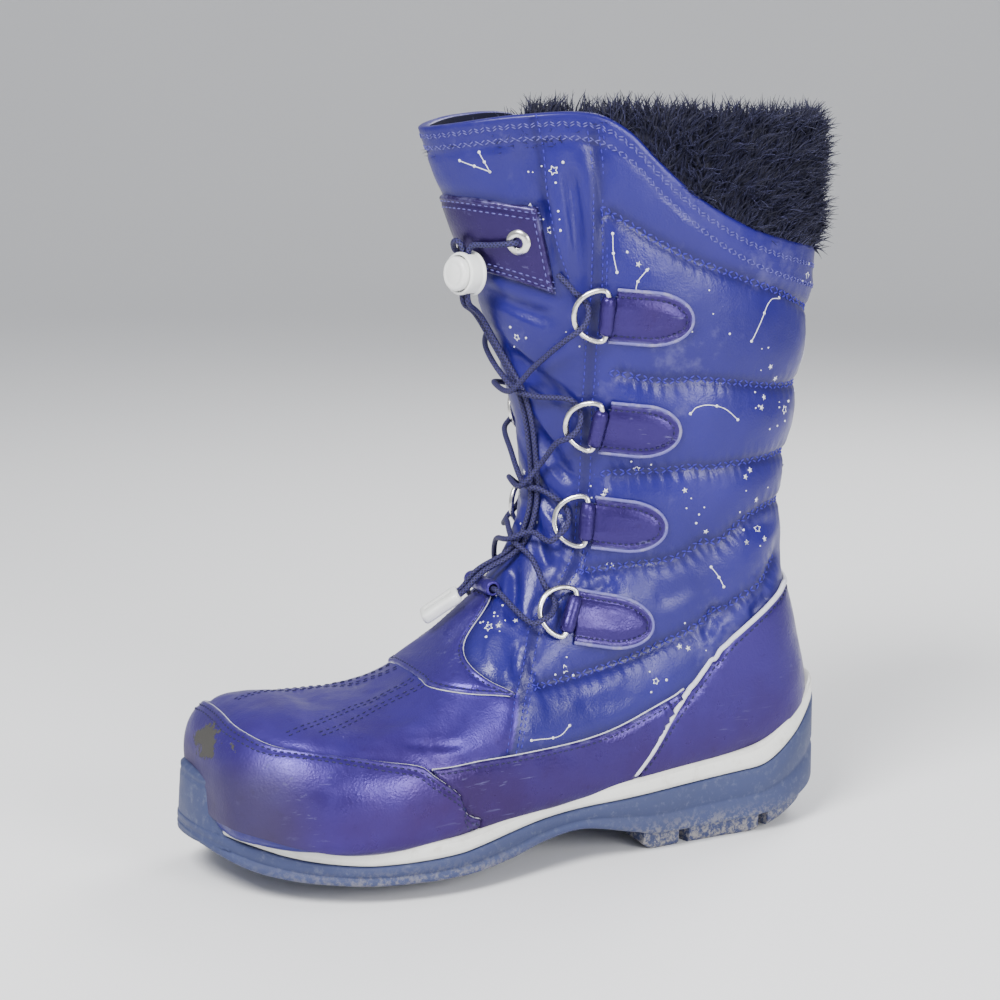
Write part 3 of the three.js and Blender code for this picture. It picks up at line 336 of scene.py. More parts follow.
# ------------------------ meshes
def grid_faces(rows, columns, closed=False, flip=False):
    """Quads of a grid of rows by columns of points, its columns closed into rings if asked."""
    i = np.arange(rows - 1)[:, None]
    j = np.arange(columns if closed else columns - 1)[None, :]
    k = (j + 1) % columns
    quads = np.stack(np.broadcast_arrays(
        i * columns + j, i * columns + k, (i + 1) * columns + k, (i + 1) * columns + j), -1)
    quads = quads.reshape(-1, 4)
    return quads[:, ::-1] if flip else quads


def looped_faces(rows, columns):
    """Quads of a grid that closes both ways, like a ring round a ring."""
    j = np.arange(columns)
    k = (j + 1) % columns
    base = (rows - 1) * columns
    last = np.stack([base + j, base + k, k, j], -1)
    return np.vstack([grid_faces(rows, columns, closed=True), last]).tolist()


def capped_faces(rows, columns):
    """Quads of closed rings, with a fan at each end to one of the two points that follow the rings."""
    faces = grid_faces(rows, columns, closed=True).tolist()
    foot, base = rows * columns, (rows - 1) * columns
    for j in range(columns):
        k = (j + 1) % columns
        faces += [[foot, k, j], [foot + 1, base + j, base + k]]
    return faces


def tube(line, radius, sides, closed=False):
    """(points, faces, corner uv) of a tube round a line. Radius may change along it."""
    line = np.asarray(line, float)
    if closed:
        line = line[:-1]
        tangent = unit(np.roll(line, -1, 0) - np.roll(line, 1, 0))
    else:
        tangent = unit(np.gradient(line, axis=0))
    radius = np.broadcast_to(radius, len(line))
    across = np.cross(tangent[0], [0, 0, 1] if abs(tangent[0][2]) < 0.9 else [1, 0, 0])
    frames = []
    for t in tangent:
        across = unit(across - t * (across @ t))
        frames.append(across)
    across = np.array(frames)
    if closed:
        last = unit(across[-1] - tangent[0] * (across[-1] @ tangent[0]))
        twist = math.atan2(np.cross(last, across[0]) @ tangent[0], last @ across[0])
        turn = np.linspace(0, twist, len(line))[:, None]
        across = across * np.cos(turn) + np.cross(tangent, across) * np.sin(turn)
    up = np.cross(tangent, across)
    angle = np.linspace(0, 2 * math.pi, sides, endpoint=False)[None, :, None]
    ring = across[:, None] * np.cos(angle) + up[:, None] * np.sin(angle)
    points = (line[:, None] + ring * radius[:, None, None]).reshape(-1, 3)
    count = len(line)
    faces = grid_faces(count, sides, closed=True)
    run = np.concatenate([[0], np.cumsum(np.linalg.norm(np.diff(line, axis=0), axis=1))])
    i = np.repeat(np.arange(count - 1), sides)
    j = np.tile(np.arange(sides), count - 1)
    uv = np.stack([
        np.stack([run[i], j / sides], -1), np.stack([run[i], (j + 1) / sides], -1),
        np.stack([run[i + 1], (j + 1) / sides], -1), np.stack([run[i + 1], j / sides], -1)], 1)
    faces, uv = faces.tolist(), uv.reshape(-1, 2).tolist()
    if closed:
        for j in range(sides):
            k = (j + 1) % sides
            base = (count - 1) * sides
            faces.append([base + j, base + k, k, j])
            uv += [[run[-1], j / sides], [run[-1], (j + 1) / sides],
                   [run[-1] + 1, (j + 1) / sides], [run[-1] + 1, j / sides]]
    else:
        ends = np.vstack([points, line[0] - tangent[0] * radius[0] * 0.3,
                          line[-1] + tangent[-1] * radius[-1] * 0.3])
        points = ends
        first, last = len(points) - 2, len(points) - 1
        for j in range(sides):
            k = (j + 1) % sides
            faces.append([j, first, k])
            faces.append([(count - 1) * sides + j, (count - 1) * sides + k, last])
            uv += [[0, 0]] * 6
    return points, faces, uv


def turned(profile, sides, turn):
    """A closed shape from a profile of [radius, height] that starts and ends on the axis."""
    profile = np.asarray(profile, float)
    inner = profile[1:-1]
    angle = np.linspace(0, 2 * math.pi, sides, endpoint=False)
    ring = np.stack([inner[:, :1] * np.cos(angle), inner[:, :1] * np.sin(angle),
                     np.broadcast_to(inner[:, 1:], (len(inner), sides))], -1).reshape(-1, 3)
    points = np.vstack([ring, [[0, 0, profile[0, 1]], [0, 0, profile[-1, 1]]]])
    return put(points, turn), capped_faces(len(inner), sides)


def put(points, turn):
    """Points moved by a 4x4 matrix."""
    turn = np.asarray(turn, float)
    return np.asarray(points, float) @ turn[:3, :3].T + turn[:3, 3]


def basis(across, up, ahead, origin):
    """A 4x4 matrix from three directions and a place."""
    turn = np.eye(4)
    turn[:3, 0], turn[:3, 1], turn[:3, 2], turn[:3, 3] = across, up, ahead, origin
    return turn


def standing(out, spot):
    """A turn that stands a shape on a spot, with its axis along the way out."""
    across = unit(np.cross([0, 0, 1], out))
    return basis(across, np.cross(out, across), out, spot)


def join(parts):
    """Several (points, faces) or (points, faces, uv) as one."""
    points, faces, uv, base = [], [], [], 0
    for part in parts:
        points.append(np.asarray(part[0], float))
        faces += [[i + base for i in face] for face in part[1]]
        if len(part) > 2:
            uv += list(part[2])
        base += len(part[0])
    return (np.vstack(points), faces, uv) if uv else (np.vstack(points), faces)


def new_object(name, points, faces, finish, uv=None, layers=None, sharp=None, outward=True):
    """A mesh object at the origin, in metres, with its corner UVs and point attributes."""
    mesh = bpy.data.meshes.new(name)
    mesh.from_pydata((np.asarray(points, float) * MM).tolist(), [], [list(map(int, f)) for f in faces])
    if uv is not None:
        mesh.uv_layers.new(name="UVMap").data.foreach_set("uv", np.asarray(uv, float).ravel())
    for layer, values in (layers or {}).items():
        kind = "FLOAT_VECTOR" if np.ndim(values) == 2 else "FLOAT"
        held = mesh.attributes.new(layer, kind, "POINT")
        field = "vector" if kind == "FLOAT_VECTOR" else "value"
        held.data.foreach_set(field, np.asarray(values, np.float32).ravel())
    if outward:
        work = bmesh.new()
        work.from_mesh(mesh)
        bmesh.ops.recalc_face_normals(work, faces=work.faces)
        work.to_mesh(mesh)
        work.free()
    mesh.shade_smooth()
    if sharp is not None:
        mesh.set_sharp_from_angle(angle=math.radians(sharp))
    mesh.materials.append(finish)
    made = bpy.data.objects.new(name, mesh)
    bpy.context.scene.collection.objects.link(made)
    return made


def settle(made, body=BODY, replaces=()):
    """Puts a finished piece on its body, and hides the nodes it stands for."""
    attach(made, body)
    if replaces:
        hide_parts(*replaces)
    return made


def apply_modifiers(made):
    """Turns the evaluated object into its own plain mesh."""
    bpy.context.view_layer.update()
    graph = bpy.context.evaluated_depsgraph_get()
    mesh = bpy.data.meshes.new_from_object(made.evaluated_get(graph))
    made.modifiers.clear()
    old = made.data
    made.data = mesh
    bpy.data.meshes.remove(old)
    mesh.name = made.name
    return made


def cut(made, points, faces):
    """Takes a closed shape out of a piece."""
    tool = new_object(made.name + "_tool", points, faces, made.data.materials[0])
    modifier = made.modifiers.new("cut", "BOOLEAN")
    modifier.operation, modifier.solver, modifier.object = "DIFFERENCE", "EXACT", tool
    apply_modifiers(made)
    bpy.data.objects.remove(tool)
    return made


def bevelled(made, width, angle):
    """Rounds the edges sharper than an angle, by a width in millimetres."""
    modifier = made.modifiers.new("edges", "BEVEL")
    modifier.width, modifier.segments = width * MM, 2
    modifier.limit_method, modifier.angle_limit = "ANGLE", math.radians(angle)
    modifier.harden_normals = False
    apply_modifiers(made)
    made.data.shade_smooth()
    made.data.set_sharp_from_angle(angle=math.radians(50))
    return made


def block(low, high, turn=None):
    """A plain block between two corners, used as a cutting tool."""
    x, y, z = zip(low, high)
    points = [[x[i & 1], y[i >> 1 & 1], z[i >> 2 & 1]] for i in range(8)]
    faces = [[0, 2, 3, 1], [4, 5, 7, 6], [0, 1, 5, 4], [2, 6, 7, 3], [0, 4, 6, 2], [1, 3, 7, 5]]
    return (put(points, turn) if turn is not None else np.array(points, float)), faces


# ------------------------ the quilted skin, with its seams and folds
CHAIN_ROWS = {
    "upper": [[19.72, 118], [19.4, 102], [19.24, 86], [19.16, 60], [19.1, 30], [19.08, 0]],
    "second": [[17.08, 120], [17.42, 102], [17.9, 80], [18.26, 37], [18.32, 18], [18.32, 0]],
    "third": [[14.48, 131], [15.48, 110], [16.34, 90], [16.9, 72], [17.38, 43], [17.5, 20], [17.5, 0]],
    "fourth": [[11.62, 137], [12.86, 119], [13.92, 104], [14.9, 91], [15.98, 73], [16.6, 52],
               [16.9, 26], [16.95, 0]],
    "fifth": [[9.4, 118], [10.26, 112], [11.14, 107], [11.9, 103], [12.92, 95], [14.22, 84],
              [15.16, 66], [15.76, 50], [16.0, 42]],
}
QUARTER_SEAM = [[20.72, 118], [20.24, 118], [19.48, 120], [18.44, 123], [17.62, 126], [16.66, 129],
                [15.52, 134], [14.22, 139], [12.9, 142], [11.76, 141], [10.78, 141], [10.04, 139],
                [9.46, 127], [8.92, 113], [8.56, 98]]
PLEAT_SEAM = [[20.96, 133], [20.4, 133], [19.9, 134], [19.2, 134.5], [18.5, 133]]
# at, degrees of the ridge or trough, then its half width and its depth; a ridge's depth is below zero
FOLDS = [
    ([[20.5, 126], [19.6, 126.5], [18.7, 128], [17.9, 130]], 3.2, 1.5),
    ([[20.6, 138], [19.9, 139], [19.3, 134.8]], 4.0, 1.3),
    ([[20.3, 130], [19.4, 130], [18.6, 131]], 3.0, -1.1),
    ([[20.4, 121.5], [19.6, 122], [18.8, 124.5]], 2.6, -0.9),
    ([[17.75, 176], [17.55, 160], [17.6, 146], [17.75, 137]], 3.0, 1.1),
    ([[17.25, 172], [16.9, 158], [16.6, 146]], 5.0, -0.8),
    ([[16.3, 176], [16.1, 160], [15.9, 147], [15.9, 138]], 3.4, 1.3),
    ([[15.3, 158], [14.9, 150], [14.7, 142]], 3.6, -1.0),
    ([[14.6, 172], [14.1, 160], [13.7, 150], [13.6, 143]], 3.0, 1.2),
    ([[13.1, 176], [12.6, 164], [12.4, 153], [12.6, 145]], 3.2, 1.2),
    ([[12.2, 176], [11.7, 166], [11.2, 156], [11.0, 147]], 2.8, 1.4),
    ([[10.7, 173], [10.3, 163], [9.9, 154], [9.7, 145]], 2.6, 1.3),
    ([[10.3, 178], [10.0, 168], [9.7, 160]], 2.4, -0.8),
    ([[9.4, 152], [9.1, 146], [9.0, 138], [9.1, 130]], 2.8, -0.9),
    ([[9.7, 140], [9.35, 134], [9.1, 125]], 1.8, 0.9),
    ([[10.5, 134], [11.3, 130], [12.2, 124]], 2.6, 0.9),
    ([[12.9, 133], [13.7, 126], [14.3, 118]], 2.8, 1.0),
    ([[13.2, 138], [13.9, 133], [14.4, 128]], 2.2, -0.7),
    ([[15.6, 131], [16.1, 124], [16.5, 117]], 3.0, 0.8),
    ([[18.0, 122], [18.1, 112], [18.0, 104]], 3.0, 0.6),
    ([[15.2, 58], [14.7, 70], [14.1, 80]], 2.4, 1.1),
    ([[14.9, 54], [14.4, 68], [13.5, 82]], 2.2, -0.7),
    ([[15.6, 56], [15.2, 66], [14.8, 76]], 2.0, -0.6),
    ([[13.9, 88], [13.2, 91], [12.6, 93]], 2.0, 0.8),
    ([[15.3, 45], [14.6, 60], [13.9, 72]], 1.8, 0.8),
    ([[17.0, 86], [16.7, 100], [16.2, 112]], 5.0, 0.4),
    ([[12.4, 112], [13.1, 104], [13.9, 96]], 3.6, 0.6),
    ([[16.5, 40], [16.2, 60], [15.8, 72]], 3.0, 0.6),
    ([[9.8, 104], [10.3, 100], [10.9, 97]], 3.4, 0.4),
]
VAMP_FOLDS = [
    ([[7.7, 112], [6.9, 122], [6.2, 131]], 1.4, 0.7),
    ([[6.9, 108], [6.7, 118], [6.9, 128]], 1.2, 0.5),
    ([[5.6, 132], [6.3, 138], [7.0, 140]], 3.0, -0.5),
    ([[6.6, 178], [6.2, 170], [6.1, 163]], 4.0, 0.4),
    ([[5.2, 196], [5.0, 180], [5.1, 166]], 5.0, 0.4),
]
CAP_SEAM = [
    [2.6, 180], [2.64, 157], [2.96, 141], [3.44, 130], [4.16, 125.5], [4.96, 124],
    [5.74, 120], [6.5, 113], [6.84, 104], [7.34, 91], [7.75, 80],
]
CAP_FOOT = [0.05, 0.05, 0.05, 0.3, 1.4, 2.7, 4, 5.2, 6.2, 7.1, 7.6]
CAP_FOOT_TURN = [180, 140, 105]
# y, z of the counter's front edge in side view, from the heel down to the strip
COUNTER_LINE = [
    [105.5, 100.6], [95.6, 94.6], [85, 87.3], [75, 79.4], [65.4, 70.3], [56.6, 60.6], [48.9, 50.8],
    [41.8, 41.2], [34.7, 33.5],
]
COUNTER_SEAM = [[16.05, 0], [15.93, 14], [15.75, 28]] + np.column_stack(
    place_at(*smooth(COUNTER_LINE, 17).T, 1)).tolist()
COUNTER_FOOT = [14.15, 13.9, 13.5, 13, 12.5, 12, 11.5, 11, 10.5, 10.1]
BAND_SEAM = [[6.78, 109], [7.68, 103], [8.52, 97], [9.32, 93], [10.1, 91], [10.92, 91], [11.6, 90.5]]
BAND_FOOT = [7.75, 8.1, 8.6, 9.1, 9.6, 10.2, 10.8]
# degrees, section at the guard's foot and at its top edge
GUARD_EDGE = [
    [180, 7.36, 9.82], [173, 7.37, 9.82], [169, 7.38, 9.5], [165, 7.4, 8.8],
    [158, 7.42, 8.52], [147, 7.7, 8.48], [134, 8.2, 8.64], [121, 8.85, 8.98],
]
VAMP_EDGE = CAP_SEAM[:9] + [[7.68, 103], [8.56, 98], [8.92, 113], [9.1, 121], [8.2, 134], [7.7, 147],
                            [7.42, 158], [7.38, 169], [7.36, 180]]
BINDING = 9.0
# a distance from any edge at which the coat isn't rubbed
UNWORN = 5.0


def line_gap(points, line):
    """How far each point is from a line, and how far along the line it is nearest."""
    best, run_at, run = np.full(len(points), np.inf), np.zeros(len(points)), 0.0
    for a, b in zip(line[:-1], line[1:]):
        d = b - a
        long = d @ d
        s = np.clip((points - a) @ d / max(long, 1e-9), 0, 1)
        gap = np.linalg.norm(points - a - s[:, None] * d, axis=1)
        nearer = gap < best
        best[nearer] = gap[nearer]
        run_at[nearer] = run + s[nearer] * math.sqrt(long)
        run += math.sqrt(long)
    return best, run_at, run


def inside(at, degrees, edge):
    """Whether places lie in a closed outline of (section, angle) corners."""
    held = np.zeros(np.shape(at), bool)
    for (a0, d0), (a1, d1) in zip(edge, edge[1:] + edge[:1]):
        crosses = (d0 > degrees) != (d1 > degrees)
        where = a0 + (a1 - a0) * (degrees - d0) / ((d1 - d0) or 1e-9)
        held ^= crosses & (at < where)
    return held


# depth and half width of a quilting line's narrow and wide troughs, then its puckers' height and pitch
QUILT_TROUGHS = ((1.2, 2.0), (1.9, 8.0))
QUILT_PUCKER = (0.24, 4.3)
# line, half width, depth of the seams from collar to band
SEAMS = ((QUARTER_SEAM, 2.6, 0.9), (PLEAT_SEAM, 1.6, 0.7))
SEAM_PUCKER = (0.12, 3.7)
# how much deeper than drawn the folds are, on the lateral and on the medial side
FOLD_DEEPER = {1: 1.5, -1: 1.3}
PADDING_WAVES = ((0.5, 17, (0, 0, 0)), (0.2, 5.5, (7, 3, 1)))
SHAFT_FOOT = 15


class Skin:
    """The upper's outside as a fine grid of points, pressed in at seams and folds."""
    # columns of half the girth, and rows of the shaft
    HALF = 120
    SHAFT = 96

    def __init__(self):
        low = np.concatenate([
            np.arange(0, 2.4, 0.2), np.arange(2.4, 8, 0.1), np.arange(8, SHAFT_FOOT - 0.01, 0.058)])
        share = np.linspace(0, 1, self.SHAFT + 1)[:, None]
        fine = np.broadcast_to(FINE_TURN, (len(low), len(FINE_TURN)))
        shaft = SHAFT_FOOT + (COLLAR_AT[None, :] - SHAFT_FOOT) * share
        at = np.vstack([np.broadcast_to(low[:, None], fine.shape), shaft])
        turn = np.broadcast_to(FINE_TURN, at.shape)
        ring = section_point(at, turn)
        run = np.cumsum(np.linalg.norm(np.diff(ring, axis=1, prepend=ring[:, :1]), axis=2), axis=1)
        half = len(FINE_TURN) // 2
        self.angles = np.array([np.concatenate([
            np.interp(np.linspace(0, r[half], self.HALF + 1)[:-1], r[:half + 1], FINE_TURN[:half + 1]),
            np.interp(np.linspace(r[half], r[-1], self.HALF + 1), r[half:], FINE_TURN[half:]),
        ]) for r in run])
        self.low = np.append(low, SHAFT_FOOT)
        self.at = np.array([np.interp(a, FINE_TURN, row) for a, row in zip(self.angles, at)])
        self.base = section_point(self.at, self.angles)
        self.normal = self.normals(self.base)
        self.relief = np.zeros(self.at.shape)
        # the seam layer marks the quilting grooves, seams and panel edges, where the skin's finish paints
        # shade
        self.layers = {name: np.zeros(self.at.shape) for name in ("seam", "fold", "vamp", "binding")}
        self.shape()
        self.points = self.base + self.normal * self.relief[..., None]
        self.normal = self.normals(self.points)

    @staticmethod
    def normals(points):
        ring = np.concatenate([points[:, -2:-1], points, points[:, 1:2]], axis=1)
        turn = (ring[:, 2:] - ring[:, :-2])
        up = np.gradient(points, axis=0)
        return unit(np.cross(up, turn))

    def near(self, line, reach):
        """The grid points near a line, how far off and how far along it they are, and its length."""
        flat = self.base.reshape(-1, 3)
        inside_box = np.flatnonzero(
            ((flat > line.min(0) - reach) & (flat < line.max(0) + reach)).all(1))
        gap, run_at, run = line_gap(flat[inside_box], line)
        keep = gap < reach
        return inside_box[keep], gap[keep], run_at[keep], run

    def press(self, table, width, depth, mark="fold", fade=0.25, count=40):
        line = section_point(*smooth(table, count).T)
        where, gap, run_at, run = self.near(line, width * 4)
        ends = soft_step(run_at, 0, run * fade) * soft_step(run - run_at, 0, run * fade) if fade else 1
        amount = hump(gap, width) * ends
        lip = 0.35 * hump(gap, width, 1.9 * width) * ends
        self.relief.ravel()[where] -= depth * (amount - lip)
        layer = self.layers[mark].ravel()
        layer[where] = np.maximum(layer[where], amount * min(abs(depth), 1) * (1 if depth > 0 else 0.3))

    def shape(self):
        front = np.abs(self.angles - 180)
        for side in (1, -1):
            for table in CHAIN_ROWS.values():
                line = section_point(*smooth(flipped(table, side), 90).T)
                where, gap, run_at, _ = self.near(line, 26)
                ends = soft_step(run_at, -2, 4)
                relief, seam = self.relief.ravel(), self.layers["seam"].ravel()
                height, pitch = QUILT_PUCKER
                pucker = height * np.sin(run_at * 2 * math.pi / pitch + 2 * np.sin(run_at / 9))
                pucker = pucker * hump(gap, 2.2, 3.4)
                groove = sum(depth * hump(gap, width) for depth, width in QUILT_TROUGHS)
                relief[where] -= (groove - pucker) * ends
                seam[where] = np.maximum(seam[where], hump(gap, 2.6) * ends)
            for table, width, depth in SEAMS:
                line = section_point(*smooth(flipped(table, side), 120).T)
                where, gap, run_at, _ = self.near(line, 14)
                relief, seam = self.relief.ravel(), self.layers["seam"].ravel()
                ridge = 0.45 * hump(gap, 0.9)
                height, pitch = SEAM_PUCKER
                pucker = height * np.sin(run_at * 2 * math.pi / pitch + side) * hump(gap, 2, 4)
                relief[where] -= depth * hump(gap, width) + 0.5 * hump(gap, 6)
                relief[where] += ridge + pucker
                seam[where] = np.maximum(seam[where], 0.8 * hump(gap, width))
            shift = 0.0 if side > 0 else 0.12
            for table, width, depth in FOLDS:
                moved = [[at + shift, degrees] for at, degrees in flipped(table, side)]
                self.press(moved, width * 1.1, depth * FOLD_DEEPER[side])
        for table, width, depth in VAMP_FOLDS:
            self.press(table, width, depth)
            self.press(mirrored(table, 180), width, depth * 0.8)
        self.mark_regions()
        self.relief += 0.7 + 0.5 * soft_step(front, 70, 110) * soft_step(self.at, 9, 12)
        self.relief += self.swell()
        self.relief = np.clip(self.relief, -3.4, np.where(front < 70, 0.9, 1.5))
        self.bind()

    def swell(self):
        """Slow, even unevenness of a padded cloth."""
        flat = self.base.reshape(-1, 3)
        slow, quick = (height * np.array([noise.noise(Vector(p / size) + Vector(shift)) for p in flat])
                       for height, size, shift in PADDING_WAVES)
        return (slow + quick).reshape(self.at.shape)

    def mark_regions(self):
        """Where the coated vamp lies, and a groove along the edge of every panel laid on the skin."""
        outline = VAMP_EDGE + mirrored(VAMP_EDGE[::-1], 180)
        held = inside(self.at, self.angles, outline)
        line = section_point(*np.array(outline + outline[:1]).T)
        line = evenly(line, 3)
        where, gap, _, _ = self.near(line, 8)
        signed = np.where(held, 8.0, -8.0).ravel()
        signed[where] = np.where(held.ravel()[where], gap, -gap)
        self.layers["vamp"] = soft_step(signed, -0.5, 0.5).reshape(self.at.shape)
        self.relief -= 0.35 * self.layers["vamp"]
        guard = [[t, d] for d, _, t in GUARD_EDGE]
        edges = [both_sides(CAP_SEAM, 180), both_sides(COUNTER_SEAM, 0), BAND_SEAM,
                 mirrored(BAND_SEAM, 180), guard, mirrored(guard, 180), PATCH_OUTLINE]
        for table in edges:
            line = section_point(*smooth(table, 140).T)
            where, gap, _, _ = self.near(line, 12)
            self.relief.ravel()[where] -= 0.55 * hump(gap, 3.2)
            seam = self.layers["seam"].ravel()
            seam[where] = np.maximum(seam[where], 0.7 * hump(gap, 2.2))

    def bind(self):
        """The doubled strip that binds the collar's edge."""
        below = section_point(self.at[-1], self.angles[-1])
        gap = np.linalg.norm(self.base - below[None], axis=2)
        strip = soft_step(gap, BINDING + 0.6, BINDING - 0.4)
        groove = hump(gap - BINDING, 1.1, 0.9)
        upper = self.at > 16
        self.relief = np.where(upper, self.relief * (1 - strip) + 0.55 * strip - 0.5 * groove, self.relief)
        waves = 0.15 * np.sin(self.angles * 0.9) * strip * hump(gap, 2, 4.4)
        self.relief += np.where(upper, waves, 0)
        self.layers["binding"] = np.where(upper, strip, 0)

    def sample(self, table, lift=0.0):
        """Points of the pressed skin at (section, angle) places, and the way out there."""
        points, ups = [], []
        lift = np.broadcast_to(lift, len(table))
        for (at, degrees), height in zip(table, lift):
            degrees = degrees % 360
            if at <= SHAFT_FOOT:
                row = np.interp(at, self.low, np.arange(len(self.low)))
            else:
                share = (at - SHAFT_FOOT) / (collar_of(degrees) - SHAFT_FOOT)
                row = len(self.low) - 1 + share * self.SHAFT
            row = min(max(row, 0), len(self.at) - 1.001)
            i, f = int(row), row - int(row)
            ends = []
            for k in (i, i + 1):
                column = np.interp(degrees, self.angles[k], np.arange(self.angles.shape[1]))
                j = min(int(column), self.angles.shape[1] - 2)
                g = column - j
                ends.append((self.points[k, j] * (1 - g) + self.points[k, j + 1] * g,
                             self.normal[k, j] * (1 - g) + self.normal[k, j + 1] * g))
            up = unit(ends[0][1] * (1 - f) + ends[1][1] * f)
            points.append(ends[0][0] * (1 - f) + ends[1][0] * f + up * height)
            ups.append(up)
        return np.array(points), np.array(ups)

    def row(self, table, offset=0.0, lift=0.0, step=1.0):
        """A line drawn on the skin, moved sideways by an offset: its points and ways out."""
        count = max(12, int(len(table) * 14))
        dense = smooth(table, count)
        points, ups = self.sample(dense, lift)
        return offset_row(points, ups, offset, step)


def offset_row(points, ups, offset=0.0, step=1.0):
    """A row of points moved sideways along the skin, and its ways out."""
    tangent = unit(np.gradient(points, axis=0))
    moved = points + unit(np.cross(ups, tangent)) * offset
    both = evenly(np.hstack([moved, ups]), step)
    return both[:, :3], unit(both[:, 3:])


PATCH = {"from": 18.15, "to": 19.6, "edges": (137, 200)}
EYELETS = {"near": (18.95, 146), "far": (18.5, 182)}
PATCH_OUTLINE = [[18.15, 200], [18.15, 168], [18.15, 139], [18.3, 137], [18.9, 137], [19.45, 137],
                 [19.6, 139], [19.6, 168], [19.6, 200]]


# ------------------------ panels laid on the skin
def layer(which):
    """The height of one of the sole's layers, as a function of the place along the boot."""
    return lambda y: along(LAYERS, y)[..., which]


def height_at(which, y):
    return float(layer(which)(np.array(float(y))))


def strip_angle(at):
    """The angle at which the skin of a section dips just below the top of the white strip."""
    low, high = 0.0, 90.0
    for _ in range(30):
        middle = (low + high) / 2
        p = section_point(at, middle)
        low, high = (middle, high) if p[2] < layer(STRIP_TOP)(p[1]) - 1.5 else (low, middle)
    return high


class Panel:
    """A panel laid on the skin between a lower and an upper line, with rounded edges."""

    def __init__(self, lower, upper, columns, rows, thick=OVERLAY, puff=0.0, edges="lute", relief=None):
        lower, upper = smooth(lower, columns + 1), smooth(upper, columns + 1)
        v = np.linspace(0, 1, rows + 1)
        v = (v - np.sin(2 * math.pi * v) / (2 * math.pi) * 0.55)[:, None, None]
        self.place = lower[None] * (1 - v) + upper[None] * v
        self.base = section_point(self.place[..., 0], self.place[..., 1])
        out = skin_normal(self.place[..., 0], self.place[..., 1])
        up_steps = np.diff(self.base, axis=0, prepend=self.base[:1])
        side_steps = np.diff(self.base, axis=1, prepend=self.base[:, :1])
        up_run, side_run = (np.cumsum(np.linalg.norm(steps, axis=2), axis=axis)
                            for axis, steps in enumerate((up_steps, side_steps)))
        gaps = {"l": up_run, "u": up_run[-1:] - up_run, "t": side_run, "e": side_run[:, -1:] - side_run}
        self.gaps = gaps
        self.edge = np.minimum.reduce([gaps[k] for k in edges])
        round_off = np.clip(self.edge / 1.3, 0, 1)
        lift = 0.1 + (GAP + thick - 0.1) * np.sqrt(1 - (1 - round_off) ** 2)
        lift = lift + puff * (1 - hump(self.edge, 7))
        lift = lift - 0.3 * hump(self.edge, 0.9, 2.6)
        flat = self.base.reshape(-1, 3)
        waves = np.array([noise.noise(Vector(p / 14) + Vector((2, 5, 9))) for p in flat])
        lift = lift + 0.25 * waves.reshape(lift.shape) * np.clip(self.edge / 4, 0, 1)
        if relief is not None:
            lift = lift + relief(self)
        self.points = self.base + out * lift[..., None]
        turn, up = np.gradient(self.points, axis=1), np.gradient(self.points, axis=0)
        self.normal = unit(np.cross(up, turn))
        self.normal *= np.sign((self.normal * out).sum(-1, keepdims=True))
        self.under = self.base - out * 0.5

    def mesh(self, name, finish):
        points, faces = closed_sheet(self.points, self.under)
        edge = np.concatenate([self.edge.ravel(), np.zeros(self.edge.size)])
        return new_object(name, points, faces, finish, layers={"edge": edge})

    def row(self, gap, edge="u", step=1.0, lift=0.1):
        """The line a gap in from an edge, as points and ways out."""
        runs = self.gaps[edge]
        if edge in "te":
            line = [self.crossing(self.gaps[edge][i], self.points[i], self.normal[i], gap)
                    for i in range(len(runs))]
        else:
            line = [self.crossing(runs[:, j], self.points[:, j], self.normal[:, j], gap)
                    for j in range(runs.shape[1])]
        line = np.array(line)
        line[:, :3] += line[:, 3:] * lift
        both = evenly(line, step)
        return both[:, :3], unit(both[:, 3:])

    @staticmethod
    def crossing(run, points, normals, gap):
        if run[0] > run[-1]:
            run, points, normals = run[::-1], points[::-1], normals[::-1]
        both = np.hstack([points, normals])
        return np.array([np.interp(gap, run, both[:, k]) for k in range(6)])


